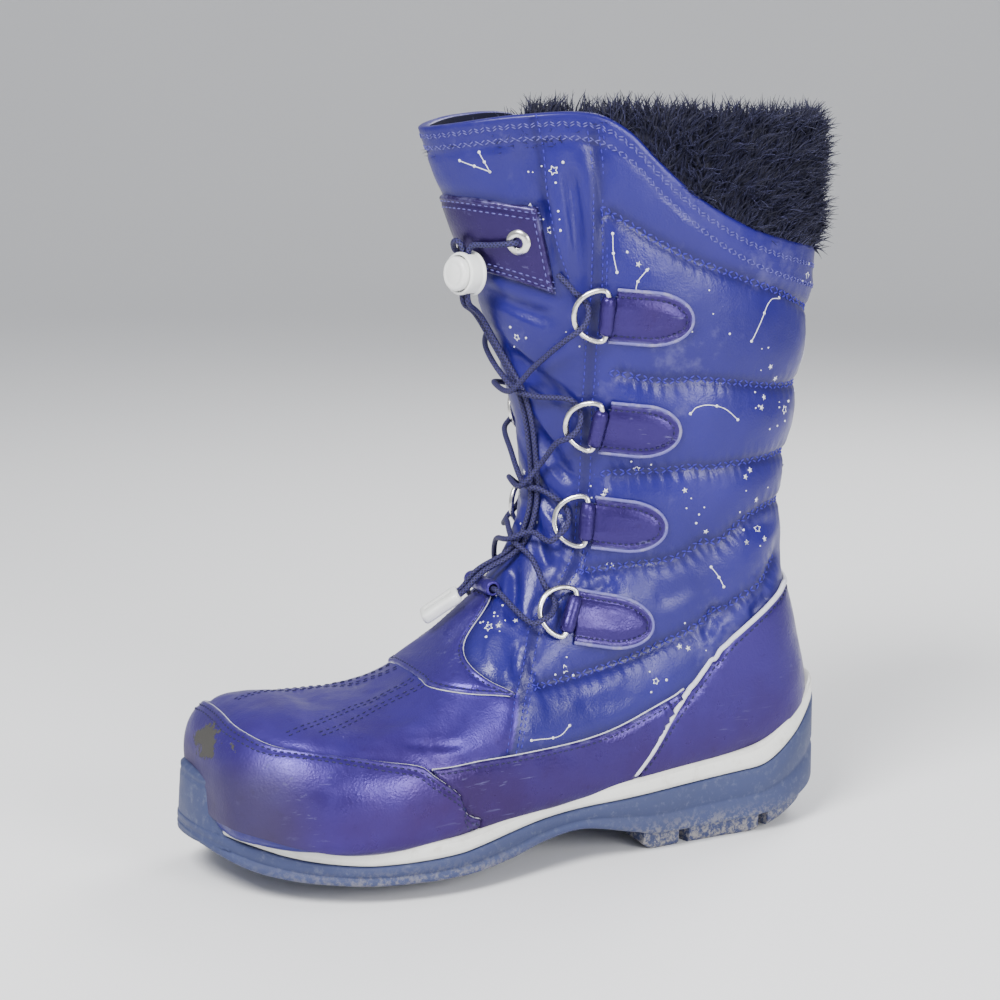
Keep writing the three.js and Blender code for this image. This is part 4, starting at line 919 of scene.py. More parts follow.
# ------------------------ finishes
class Finish:
    """A material made from nodes on Object coordinates, in metres."""

    def __init__(self, name, roughness=0.5, metallic=0.0, **fixed):
        self.material = bpy.data.materials.new(name)
        self.material.use_nodes = True
        self.tree = self.material.node_tree
        self.tree.nodes.clear()
        self.shader = self.add("ShaderNodeBsdfPrincipled")
        output = self.add("ShaderNodeOutputMaterial")
        self.tree.links.new(self.shader.outputs[0], output.inputs[0])
        self.coords = self.add("ShaderNodeTexCoord").outputs["Object"]
        self.height = None
        self.set("Roughness", roughness)
        self.set("Metallic", metallic)
        for socket, value in fixed.items():
            self.set(socket.replace("_", " ").capitalize().replace("ior", "IOR"), value)

    def add(self, kind, **settings):
        node = self.tree.nodes.new(kind)
        for name, value in settings.items():
            setattr(node, name, value)
        return node

    def feed(self, socket, value):
        if isinstance(value, bpy.types.NodeSocket):
            self.tree.links.new(value, socket)
        elif hasattr(value, "__len__"):
            socket.default_value = (*value, 1)[:4] if socket.type == "RGBA" else value
        else:
            socket.default_value = value

    def set(self, name, value):
        names = {s.name.lower(): s for s in self.shader.inputs}
        self.feed(names[name.lower()], value)

    def stretched(self, scale, turn=(0, 0, 0)):
        node = self.add("ShaderNodeMapping")
        self.feed(node.inputs["Vector"], self.coords)
        node.inputs["Scale"].default_value = scale
        node.inputs["Rotation"].default_value = [math.radians(a) for a in turn]
        return node.outputs[0]

    def noise(self, size, detail=2.0, rough=0.5, bend=0.0, where=None):
        """Cloudy value from 0 to 1 whose patches are about this size in millimetres."""
        node = self.add("ShaderNodeTexNoise")
        self.feed(node.inputs["Vector"], where or self.coords)
        node.inputs["Scale"].default_value = 1000 / size
        node.inputs["Detail"].default_value = detail
        node.inputs["Roughness"].default_value = rough
        node.inputs["Distortion"].default_value = bend
        return node.outputs[0]

    def cells(self, size, feature="F1", where=None):
        node = self.add("ShaderNodeTexVoronoi", feature=feature)
        self.feed(node.inputs["Vector"], where or self.coords)
        node.inputs["Scale"].default_value = 1000 / size
        return node.outputs["Distance"]

    def attribute(self, name):
        return self.add("ShaderNodeAttribute", attribute_name=name).outputs["Fac"]

    def height_of(self, axis="Z"):
        node = self.add("ShaderNodeSeparateXYZ")
        self.feed(node.inputs[0], self.coords)
        return node.outputs[axis]

    def sum(self, operation, a, b=0.0, clamp=False):
        node = self.add("ShaderNodeMath", operation=operation, use_clamp=clamp)
        self.feed(node.inputs[0], a)
        self.feed(node.inputs[1], b)
        return node.outputs[0]

    def times(self, a, b, clamp=False):
        return self.sum("MULTIPLY", a, b, clamp)

    def span(self, value, low, high, to_low=0.0, to_high=1.0):
        node = self.add("ShaderNodeMapRange", interpolation_type="SMOOTHSTEP")
        self.feed(node.inputs["Value"], value)
        for name, number in zip(("From Min", "From Max", "To Min", "To Max"), (low, high, to_low, to_high)):
            node.inputs[name].default_value = number
        return node.outputs["Result"]

    def blend(self, share, a, b):
        node = self.add("ShaderNodeMix", data_type="RGBA")
        self.feed(node.inputs[0], share)
        self.feed(node.inputs[6], a)
        self.feed(node.inputs[7], b)
        return node.outputs[2]

    def either(self, share, a, b):
        node = self.add("ShaderNodeMix", data_type="FLOAT")
        self.feed(node.inputs[0], share)
        self.feed(node.inputs[2], a)
        self.feed(node.inputs[3], b)
        return node.outputs[0]

    def bump(self, height, depth, strength=1.0):
        """Raises the surface by a value from 0 to 1, times a depth in millimetres."""
        node = self.add("ShaderNodeBump")
        node.inputs["Strength"].default_value = strength
        node.inputs["Distance"].default_value = depth * MM
        self.feed(node.inputs["Height"], height)
        if self.height is not None:
            self.feed(node.inputs["Normal"], self.height)
        self.height = node.outputs[0]
        self.set("Normal", self.height)


def shade(colour, factor):
    return tuple(c * factor for c in colour[:3])


def leather_grain(f, cell=0.9, depth=0.05):
    """Fine creased grain of a coated cloth."""
    wander = f.noise(3.0, 2)
    grain = f.sum("ADD", f.cells(cell), f.times(wander, 0.5))
    f.bump(grain, depth)
    f.bump(f.noise(0.6, 3, 0.6), depth * 0.8)


def skin_finish(colours):
    """Satin quilted panels, and the pearly coated vamp where its mark says so."""
    f = Finish("quilted_satin_skin", specular_ior_level=0.42)
    vamp, seam = f.attribute("vamp"), f.attribute("seam")
    cloud = f.noise(38, 3)
    panel = f.blend(cloud, shade(colours.panel, 0.62), shade(colours.panel, 1.25))
    # painted shade: along the quilting grooves, the seams and the edges of the panels laid over it, the
    # satin is painted darker
    panel = f.blend(f.times(seam, 0.7), panel, shade(colours.panel, 0.22))
    rubbed = f.span(f.times(f.noise(9, 4, 0.65), f.noise(60, 2)), 0.30, 0.46)
    panel = f.blend(f.times(rubbed, 0.22), panel, colours.worn)
    coated = coated_colour(f, colours)
    f.set("Base Color", f.blend(vamp, panel, coated))
    scuffs = scratches(f)
    rough = f.span(f.noise(14, 3), 0.3, 0.7, 0.28, 0.42)
    coat_rough = f.either(scuffs, f.span(f.noise(8, 3), 0.3, 0.7, 0.30, 0.42), 0.6)
    f.set("Roughness", f.either(vamp, rough, coat_rough))
    f.set("Metallic", f.either(vamp, 0.12, 0.55))
    leather_grain(f, 0.8, 0.045)
    f.bump(f.noise(2.4, 3, 0.6, 0.6), 0.10)
    return f.material


def coated_colour(f, colours):
    """Pearly violet that turns plum towards the bottom of the shoe as painted reflection of the dark floor,
    and plum in random patches, with dark patches of grime.
    """
    height = f.height_of("Z")
    # painted reflection: below 75 mm the coat turns plum, fully at 30 mm, as if mirroring the dark floor;
    # the cloud adds plum patches of random tone
    low = f.span(height, 0.075, 0.030)
    cloud = f.noise(30, 3, 0.55)
    share = f.sum("ADD", f.times(low, 0.62), f.sum("SUBTRACT", cloud, 0.55), clamp=True)
    colour = f.blend(share, colours.coated, colours.plum)
    grime = f.span(f.noise(5, 5, 0.7), 0.56, 0.80)
    colour = f.blend(f.times(grime, 0.35), colour, shade(colours.plum, 0.5))
    return colour


def scratches(f):
    """Long fine rubs, mostly along the shoe."""
    streaks = f.noise(2.2, 3, 0.6, 0.4, f.stretched((1.0, 0.10, 1.6), (12, 0, 4)))
    where = f.noise(26, 2)
    return f.times(f.span(streaks, 0.60, 0.72), f.span(where, 0.46, 0.62), clamp=True)


def coated_finish(name, colours, dark=1.0, toe=False):
    """Pearly coated panels with scuffs, rubbed edges and, at the toe, bare places."""
    f = Finish(name, specular_ior_level=0.5)
    edge = f.attribute("edge")
    colour = coated_colour(f, colours)
    if dark != 1.0:
        colour = f.blend(1 - dark, colour, shade(colours.plum, 0.45))
    scuffs = scratches(f)
    colour = f.blend(f.times(scuffs, 0.45), colour, colours.worn)
    rubbed = f.times(f.span(edge, 1.9, 0.2), f.span(f.noise(4, 4, 0.65), 0.42, 0.60), clamp=True)
    colour = f.blend(f.times(rubbed, 0.55), colour, colours.worn)
    rough = f.either(scuffs, f.span(f.noise(7, 3), 0.3, 0.7, 0.27, 0.40), 0.62)
    metallic = 0.62
    if toe:
        bare, dull = f.attribute("bare"), f.attribute("dull")
        torn = f.sum("ADD", bare, f.times(f.sum("SUBTRACT", f.noise(5.5, 5, 0.65), 0.5), 1.5))
        torn = f.span(torn, 0.62, 0.68)
        colour = f.blend(f.times(dull, 0.75), colour, (0.030, 0.026, 0.050))
        colour = f.blend(torn, colour, (0.040, 0.038, 0.034))
        rough = f.either(f.sum("MAXIMUM", torn, f.times(dull, 0.7)), rough, 0.8)
        metallic = f.either(f.sum("MAXIMUM", torn, f.times(dull, 0.6)), metallic, 0.0)
        f.bump(f.sum("SUBTRACT", 1.0, torn), 0.25)
    f.set("Base Color", colour)
    f.set("Roughness", rough)
    f.set("Metallic", metallic)
    leather_grain(f, 1.0, 0.05)
    f.bump(f.noise(2.8, 3, 0.6, 0.8), 0.12)
    return f.material


def strip_finish(colours):
    """Glossy off-white foam strip, yellowed and soiled in patches, and grey along its top and bottom
    corners, where it meets the upper and the sole, as grime and painted shade.
    """
    f = Finish("white_strip", specular_ior_level=0.5)
    soil = f.times(f.span(f.noise(6, 5, 0.7), 0.5, 0.72), f.span(f.noise(45, 2), 0.4, 0.6))
    colour = f.blend(f.noise(30, 2), colours.strip, shade(colours.strip, 0.90))
    colour = f.blend(f.times(soil, 0.35), colour, (0.42, 0.38, 0.30))
    # grime and painted shade: the strip goes grey in patches along its rounded top and its foot, where the
    # upper and the sole meet it
    grime_and_corner_shade = f.times(f.span(f.attribute("edge"), 1.2, 0.1), f.noise(5, 4, 0.7), clamp=True)
    f.set("Base Color", f.blend(f.times(grime_and_corner_shade, 0.5), colour, (0.30, 0.28, 0.27)))
    f.set("Roughness", f.span(f.noise(12, 3), 0.3, 0.7, 0.26, 0.44))
    f.bump(f.noise(1.4, 3, 0.6), 0.04)
    f.bump(f.noise(9, 3), 0.12)
    return f.material


def rubber_finish(colours):
    """Matt slate rubber, chalky where it rubs the ground, with grit in the tread."""
    f = Finish("slate_rubber", specular_ior_level=0.4)
    low = f.span(f.height_of("Z"), 0.016, 0.001)
    cloud = f.noise(22, 4, 0.6)
    colour = f.blend(cloud, shade(colours.sole, 0.78), shade(colours.sole, 1.22))
    chalk = f.span(f.noise(3.4, 5, 0.72), 0.50, 0.74)
    colour = f.blend(f.times(chalk, 0.30), colour, (0.17, 0.19, 0.27))
    grit = f.times(low, f.span(f.noise(2.2, 5, 0.75), 0.44, 0.60), clamp=True)
    colour = f.blend(f.times(grit, 0.62), colour, (0.40, 0.37, 0.32))
    f.set("Base Color", colour)
    f.set("Roughness", f.span(cloud, 0.3, 0.7, 0.52, 0.70))
    f.bump(f.noise(0.5, 3, 0.7), 0.05)
    f.bump(f.noise(4, 4, 0.6), 0.12)
    return f.material


def fur_finish(colours):
    f = Finish("deep_plush", roughness=0.62, specular_ior_level=0.35,
               sheen_weight=0.35, sheen_roughness=0.4)
    f.set("Sheen Tint", (0.22, 0.22, 0.50))
    tuft = f.noise(9, 3, 0.6)
    f.set("Base Color", f.blend(tuft, shade(colours.fur, 0.55), shade(colours.fur, 1.7)))
    return f.material


def felt_finish(name, colour):
    f = Finish(name, roughness=0.9, specular_ior_level=0.2)
    f.set("Base Color", f.blend(f.noise(6, 4, 0.7), shade(colour, 0.7), shade(colour, 1.3)))
    f.bump(f.noise(0.7, 4, 0.7), 0.25)
    return f.material


def thread_finish(name, colour):
    f = Finish(name, roughness=0.55, specular_ior_level=0.4)
    f.set("Base Color", f.blend(f.noise(3.0, 3), shade(colour, 0.75), shade(colour, 1.25)))
    f.bump(f.noise(0.25, 2, 0.6, 0, f.stretched((1, 1, 3))), 0.05)
    return f.material


def piping_finish(name, colour, soiled=0.5):
    f = Finish(name, roughness=0.5, specular_ior_level=0.45)
    soil = f.span(f.noise(4.5, 5, 0.7), 0.46, 0.66)
    f.set("Base Color", f.blend(f.times(soil, soiled), colour, (0.30, 0.28, 0.36)))
    f.bump(f.noise(0.9, 4, 0.6), 0.10)
    return f.material


def cord_finish(colours):
    """Round braid: two sets of strands that cross, drawn on the cord's own UV map."""
    f = Finish("braided_cord", roughness=0.6, specular_ior_level=0.4)
    uv = f.add("ShaderNodeUVMap", uv_map="UVMap").outputs[0]
    parts = f.add("ShaderNodeSeparateXYZ")
    f.feed(parts.inputs[0], uv)
    run = f.times(parts.outputs[0], 2 * math.pi / 1.6)
    around = f.times(parts.outputs[1], 2 * math.pi * 4)
    one = f.sum("SINE", f.sum("ADD", run, around))
    other = f.sum("SINE", f.sum("SUBTRACT", run, around))
    braid = f.sum("MAXIMUM", one, other)
    # painted shade: the cord is darkest in the dips between the strands and lightest on their crowns
    strand_shade = f.span(braid, 0.2, 0.95)
    f.set("Base Color", f.blend(strand_shade, shade(colours.cord, 0.45), shade(colours.cord, 1.45)))
    f.bump(braid, 0.12)
    return f.material


def metal_finish():
    f = Finish("bright_wire", metallic=1.0, specular_ior_level=0.5)
    dull = f.span(f.noise(5, 4, 0.7), 0.45, 0.7)
    f.set("Base Color", f.blend(dull, (0.80, 0.79, 0.76), (0.50, 0.48, 0.46)))
    f.set("Roughness", f.span(f.noise(2.5, 4), 0.3, 0.7, 0.14, 0.34))
    f.bump(f.noise(0.8, 3), 0.02)
    return f.material


def plastic_finish(name, colour):
    f = Finish(name, roughness=0.24, specular_ior_level=0.5, coat_weight=0.25, coat_roughness=0.12)
    soil = f.times(f.span(f.noise(2.4, 5, 0.7), 0.56, 0.74), 0.22)
    f.set("Base Color", f.blend(soil, colour, shade(colour, 0.55)))
    f.bump(f.noise(3.0, 3), 0.04)
    return f.material


def print_finish(colour):
    f = Finish("print_ink", roughness=0.45, specular_ior_level=0.4)
    f.set("Base Color", f.blend(f.span(f.noise(1.6, 4, 0.7), 0.52, 0.75), colour, shade(colour, 0.55)))
    return f.material


FINISHES = {}


def finish(name):
    return FINISHES[name]


def make_finishes(colours):
    c = colours
    FINISHES.update({
        "skin": skin_finish(c),
        "cap": coated_finish("coated_toe", c, toe=True),
        "coated": coated_finish("coated_panel", c, dark=0.7),
        "patch": coated_finish("coated_patch", c, dark=0.3),
        "guard": coated_finish("coated_guard", c),
        "tab": coated_finish("coated_tab", c, dark=0.5),
        "strip": strip_finish(c),
        "rubber": rubber_finish(c),
        "fur": fur_finish(c),
        "lining": felt_finish("plush_lining", shade(c.fur, 1.2)),
        "felt": felt_finish("insole_felt", shade(c.fur, 1.8)),
        "thread_panel": thread_finish("panel_thread", shade(c.panel, 2.0)),
        "thread_dark": thread_finish("dark_thread", (0.010, 0.009, 0.050)),
        "thread_pale": thread_finish("pale_thread", (0.085, 0.078, 0.30)),
        "piping": piping_finish("pale_piping", c.trim, 0.55),
        "bold_piping": piping_finish("white_piping", shade(c.trim, 1.15), 0.3),
        "tab_edge": piping_finish("tab_edge", (0.11, 0.10, 0.34), 0.5),
        "cord": cord_finish(c),
        "metal": metal_finish(),
        "plastic": plastic_finish("white_gloss_plastic", (0.80, 0.81, 0.79)),
        "ink": print_finish((0.72, 0.72, 0.80)),
    })


# ------------------------ node trees for what repeats
class NodeTree:
    """A Geometry Nodes tree with named inputs."""

    def __init__(self, name, inputs):
        self.tree = bpy.data.node_groups.new(name, "GeometryNodeTree")
        face = self.tree.interface
        face.new_socket("Geometry", in_out="INPUT", socket_type="NodeSocketGeometry")
        self.ids = {}
        for label, kind, value in inputs:
            socket = face.new_socket(label, in_out="INPUT", socket_type=kind)
            if value is not None:
                socket.default_value = value
            self.ids[label] = socket.identifier
        face.new_socket("Geometry", in_out="OUTPUT", socket_type="NodeSocketGeometry")
        self.input = self.add("NodeGroupInput")
        self.output = self.add("NodeGroupOutput")

    def add(self, kind, feeds=None, **settings):
        node = self.tree.nodes.new(kind)
        for name, value in settings.items():
            setattr(node, name, value)
        for where, value in (feeds or {}).items():
            socket = node.inputs[where]
            if isinstance(value, bpy.types.NodeSocket):
                self.tree.links.new(value, socket)
            else:
                socket.default_value = value
        return node

    def out(self, kind, feeds=None, **settings):
        return self.add(kind, feeds, **settings).outputs[0]

    def math(self, operation, *values):
        return self.out("ShaderNodeMath", dict(enumerate(values)), operation=operation)

    def vector(self, operation, feeds):
        return self.out("ShaderNodeVectorMath", feeds, operation=operation)

    def chance(self, low, high, seed):
        feeds = {2: low, 3: high, "Seed": seed}
        return self.add("FunctionNodeRandomValue", feeds, data_type="FLOAT").outputs[1]

    def lay(self, points, shape, rotation, turn, size):
        """A shape at every point, turned about its own axis; realized, smooth and with its material."""
        swing = self.out("FunctionNodeAxisAngleToRotation", {"Axis": (0, 0, 1), "Angle": turn})
        spun = self.out("FunctionNodeRotateRotation", {0: rotation, 1: swing}, rotation_space="LOCAL")
        laid = self.out("GeometryNodeInstanceOnPoints",
                        {"Points": points, "Instance": shape, "Rotation": spun, "Scale": size})
        real = self.out("GeometryNodeRealizeInstances", {0: laid})
        rounded = self.out("GeometryNodeSetShadeSmooth", {0: real})
        painted = self.out("GeometryNodeSetMaterial",
                           {"Geometry": rounded, "Material": self.input.outputs["Material"]})
        self.tree.links.new(painted, self.output.inputs[0])

    def grow(self, made, **values):
        """Runs the tree on an object and leaves its result as the object's plain mesh."""
        modifier = made.modifiers.new("grow", "NODES")
        modifier.node_group = self.tree
        for label, value in values.items():
            modifier[self.ids[label.replace("_", " ").capitalize()]] = value
        return apply_modifiers(made)


FLOAT, INT, MATERIAL = "NodeSocketFloat", "NodeSocketInt", "NodeSocketMaterial"


def stitch_tree():
    """Stitches at even steps along every edge line, each turned by the slant to alternate sides."""
    t = NodeTree("stitch_rows", [
        ("Pitch", FLOAT, 0.003), ("Long", FLOAT, 0.0023), ("Thick", FLOAT, 0.0006),
        ("Slant", FLOAT, 0.0), ("Material", MATERIAL, None)])
    g = t.input.outputs
    curve = t.out("GeometryNodeMeshToCurve", {0: g["Geometry"]})
    even = t.out("GeometryNodeResampleCurve", {"Curve": curve, "Length": g["Pitch"]}, mode="LENGTH")
    up = t.out("GeometryNodeInputNamedAttribute", {"Name": "up"}, data_type="FLOAT_VECTOR")
    tangent = t.out("GeometryNodeInputTangent")
    rise = t.out("FunctionNodeAlignRotationToVector", {"Vector": up}, axis="Z")
    lie = t.out("FunctionNodeAlignRotationToVector", {"Rotation": rise, "Vector": tangent},
                axis="X", pivot_axis="Z")
    odd = t.math("FLOORED_MODULO", t.out("GeometryNodeInputIndex"), 2.0)
    sign = t.math("MULTIPLY_ADD", odd, 2.0, -1.0)
    bead = t.out("GeometryNodeMeshUVSphere", {"Segments": 6, "Rings": 4, "Radius": 0.5})
    size = t.out("ShaderNodeCombineXYZ", {0: g["Long"], 1: g["Thick"], 2: g["Thick"]})
    t.lay(even, bead, lie, t.math("MULTIPLY", sign, g["Slant"]), size)
    return t


def tuft_tree():
    """Curved tufts scattered over a surface, leaning the way its attribute lies and unevenly long."""
    t = NodeTree("plush_tufts", [
        ("Density", FLOAT, 500000.0), ("Long", FLOAT, 0.009), ("Thick", FLOAT, 0.0011),
        ("Spread", FLOAT, 0.5), ("Seed", INT, 3), ("Material", MATERIAL, None)])
    g = t.input.outputs
    spots = t.out("GeometryNodeDistributePointsOnFaces",
                  {"Mesh": g["Geometry"], "Density": g["Density"], "Seed": g["Seed"]})
    lie = t.out("GeometryNodeInputNamedAttribute", {"Name": "lie"}, data_type="FLOAT_VECTOR")
    held = t.out("GeometryNodeSampleNearestSurface", {"Mesh": g["Geometry"], "Value": lie},
                 data_type="FLOAT_VECTOR")
    stray = t.out("FunctionNodeRandomValue", {0: (-1, -1, -1), 1: (1, 1, 1), "Seed": 11},
                  data_type="FLOAT_VECTOR")
    # neighbours lean alike, in clumps about 8 mm across
    place = t.out("GeometryNodeInputPosition")
    cloud = t.add("ShaderNodeTexNoise", {"Vector": place, "Scale": 130.0, "Detail": 1.0})
    centred = t.vector("SUBTRACT", {0: cloud.outputs[1], 1: (0.5, 0.5, 0.5)})
    clumped = t.vector("SCALE", {0: centred, "Scale": 3.0})
    loose = t.vector("SCALE", {0: stray, "Scale": g["Spread"]})
    bent = t.vector("ADD", {0: loose, 1: clumped})
    way = t.vector("ADD", {0: held, 1: bent})
    rise = t.out("FunctionNodeAlignRotationToVector", {"Vector": way}, axis="Z")
    # one tuft, a thin cone that curls over towards its tip
    cone = t.out("GeometryNodeMeshCone", {
        "Vertices": 3, "Side Segments": 3, "Radius Top": 0.03, "Radius Bottom": 0.5, "Depth": 1.0},
        fill_type="NONE")
    height = t.add("ShaderNodeSeparateXYZ", {0: t.out("GeometryNodeInputPosition")}).outputs[2]
    curl = t.math("MULTIPLY", t.math("POWER", height, 2.0), 3.2)
    push = t.out("ShaderNodeCombineXYZ", {0: curl})
    curved = t.out("GeometryNodeSetPosition", {"Geometry": cone, "Offset": push})
    long = t.math("MULTIPLY", t.chance(0.6, 1.15, 8), g["Long"])
    size = t.out("ShaderNodeCombineXYZ", {0: g["Thick"], 1: g["Thick"], 2: long})
    t.lay(spots, curved, rise, t.chance(0.0, 6.283, 5), size)
    return t


TREES = {}


def tree(name, build):
    if name not in TREES:
        TREES[name] = build()
    return TREES[name]


def stitches(name, rows, finish_name, pitch, long, thick, slant=0.0):
    """One piece of stitches along rows, each a pair of points and ways out."""
    points, ups, edges, base = [], [], [], 0
    for line, up in rows:
        points.append(line)
        ups.append(up)
        edges += [(base + i, base + i + 1) for i in range(len(line) - 1)]
        base += len(line)
    points, ups = np.vstack(points), np.vstack(ups)
    mesh = bpy.data.meshes.new(name)
    mesh.from_pydata((points * MM).tolist(), edges, [])
    held = mesh.attributes.new("up", "FLOAT_VECTOR", "POINT")
    held.data.foreach_set("vector", ups.astype(np.float32).ravel())
    made = bpy.data.objects.new(name, mesh)
    bpy.context.scene.collection.objects.link(made)
    tree("stitch", stitch_tree).grow(made, pitch=pitch * MM, long=long * MM, thick=thick * MM,
                                     slant=math.radians(slant), material=finish(finish_name))
    return settle(made)


# ------------------------ the plush
def plush_cuff():
    """Rings of the plush lining's roll, from its hidden foot round its top to the inside."""
    turn = np.linspace(0, 360, 180, endpoint=False)
    collar = collar_of(turn)
    fur = np.interp(turn, FINE_TURN, FUR_AT)
    behind = soft_step(section_point(collar, turn)[:, 1], 0, 26)
    top = (collar - 0.42) * (1 - behind) + np.maximum(collar - 0.10, fur - 0.25) * behind
    bulge = soft_step(top - collar, 0.1, 0.7)
    outside = 4.3 + (1.0 - 4.3) * bulge
    shelf = np.minimum(collar + 0.03, top - 0.06)
    foot = collar - LINING_DEPTH
    # section and depth below the boot's outside of each ring
    rings = (
        (foot, 4.2), (np.minimum(collar, shelf - 0.02), 4.2), (shelf, outside),
        (shelf * 0.5 + top * 0.5, outside), (shelf * 0.2 + top * 0.8, outside + 0.6),
        (top, outside + 2.4), (top + 0.03, outside + 4.5), (top - 0.05, outside + 7.5),
        (shelf * 0.4 + top * 0.6, outside * 0.5 + 8.0), (foot, 10), (foot - 1.2, 10.4),
    )
    return np.array([section_point(at, turn, wall, wall, wall) for at, wall in rings]), turn


TUFT_SPREAD = 0.42


def make_plush(long, thick, density):
    """The plush roll with its tufts; long and thick are a tuft's, in millimetres."""
    rows, turn = plush_cuff()
    count, around = rows.shape[:2]
    roll = new_object("plush_roll", rows.reshape(-1, 3), looped_faces(count, around), finish("fur"))
    settle(roll, replaces=("fur_cuff",))
    # tufts stand up and out of the roll and down into the boot: how far out and how far up, ring by ring
    out = unit(section_point(20, turn) * [1, 1, 0] - [-5, 50, 0])
    outward = [0.35, 0.55, 0.75, 0.6, 0.35, 0.0, -0.35, -0.5, -0.75, -0.8]
    upward = [0.9, 0.9, 0.85, 1, 1, 1, 1, 0.9, 0.4, 0.1]
    lean = np.array([unit(out * a + np.array([0, 0, b])) for a, b in zip(outward, upward)])
    for name, low, high, seed, share in (("plush_outer", 0, 5, 3, 1.0), ("plush_inner", 5, 8, 8, 0.5)):
        part = rows[1 + low:high + 2]
        faces = grid_faces(len(part), around, closed=True)
        sheet = new_object(name, part.reshape(-1, 3), faces, finish("fur"), outward=False,
                           layers={"lie": lean[low:high + 1].reshape(-1, 3)})
        tree("tufts", tuft_tree).grow(sheet, density=density * share, long=long * MM, thick=thick * MM,
                                      spread=TUFT_SPREAD, seed=seed, material=finish("fur"))
        settle(sheet)


# ------------------------ the sole
TIP = (-14.0, -132.5)
HEEL_Y = 132.5
# side: y and half width at the ball, at the waist and at the heel, then the toe's roundness
SOLE_EDGES = {1: (-54, 52, 18, 40, 84, 36, 2.05), -1: (-64, 52, 22, 35, 84, 35, 2.15)}
HEEL_ROUND = 2.3
CUP_START = 97
TREAD_INSET = 4.5
CROSS_GROOVES = [-117, -97, -66, -43, 53, 91]
ARCH_BARE = (-27, 41)
GROOVE_HALF = 2.5
GROOVE_SLANT = 12
RIB_PITCH = 3.1
ARCH_BAR_PITCH = 6.5


def sole_edge(y, side):
    ball_y, ball, waist_y, waist, heel_y, heel, toe_round = SOLE_EDGES[side]

    def arch(q, power):
        return (1 - np.clip(q, 0, 1) ** power) ** (1 / power)

    def ease(s):
        return (1 - np.cos(math.pi * np.clip(s, 0, 1))) / 2

    toe = side * TIP[0] + (ball - side * TIP[0]) * arch((ball_y - y) / (ball_y - TIP[1]), toe_round)
    rear = heel * arch((y - heel_y) / (HEEL_Y - heel_y), HEEL_ROUND)
    front = ball + (waist - ball) * ease((y - ball_y) / (waist_y - ball_y))
    middle = waist + (heel - waist) * ease((y - waist_y) / (heel_y - waist_y))
    return np.select([y < ball_y, y > heel_y, y < waist_y], [toe, rear, front], middle)


class Outline:
    """The sole's closed outline, from the toe tip round the lateral side, with its arc lengths."""
    COUNT = 320

    def __init__(self):
        s = np.linspace(0, math.pi, 3000)
        y = (TIP[1] + HEEL_Y) / 2 - (HEEL_Y - TIP[1]) / 2 * np.cos(s)
        loops = [np.column_stack([side * sole_edge(y, side), y]) for side in (1, -1)]
        loops = [evenly(loop, np.linalg.norm(np.diff(loop, axis=0), axis=1).sum() / (self.COUNT // 2))
                 for loop in loops]
        self.loop = np.vstack([loops[0], loops[1][::-1][1:-1]])
        ahead = np.roll(self.loop, -1, 0) - np.roll(self.loop, 1, 0)
        run = unit(ahead)
        self.inward = np.column_stack([-run[:, 1], run[:, 0]])
        steps = np.linalg.norm(np.diff(self.loop, axis=0, append=self.loop[:1]), axis=1)
        length = np.concatenate([[0], np.cumsum(steps)])
        self.total = length[-1]
        self.run = length[:-1]
        self.from_tip = np.minimum(self.run, self.total - self.run)

    def ring(self, inset, height_at):
        p = self.loop + self.inward * np.broadcast_to(inset, len(self.loop))[:, None]
        return np.column_stack([p, height_at(p[:, 1])])

    def closed(self, rings):
        """A closed shape through rings, its ends closed by strips across the sole."""
        count = len(self.loop)
        points = np.vstack(rings)
        faces = grid_faces(len(rings), count, closed=True).tolist()
        half = count // 2
        for start in (0, (len(rings) - 1) * count):
            for j in range(half):
                face = [j, j + 1, (count - j - 1) % count, (count - j) % count]
                faces.append([start + k for k in dict.fromkeys(face)])
        return points, faces


def cup_floor(y):
    foot = layer(STRIP_FOOT)
    return np.where(y > 0, np.minimum(foot(y), foot(CUP_START)), foot(y))


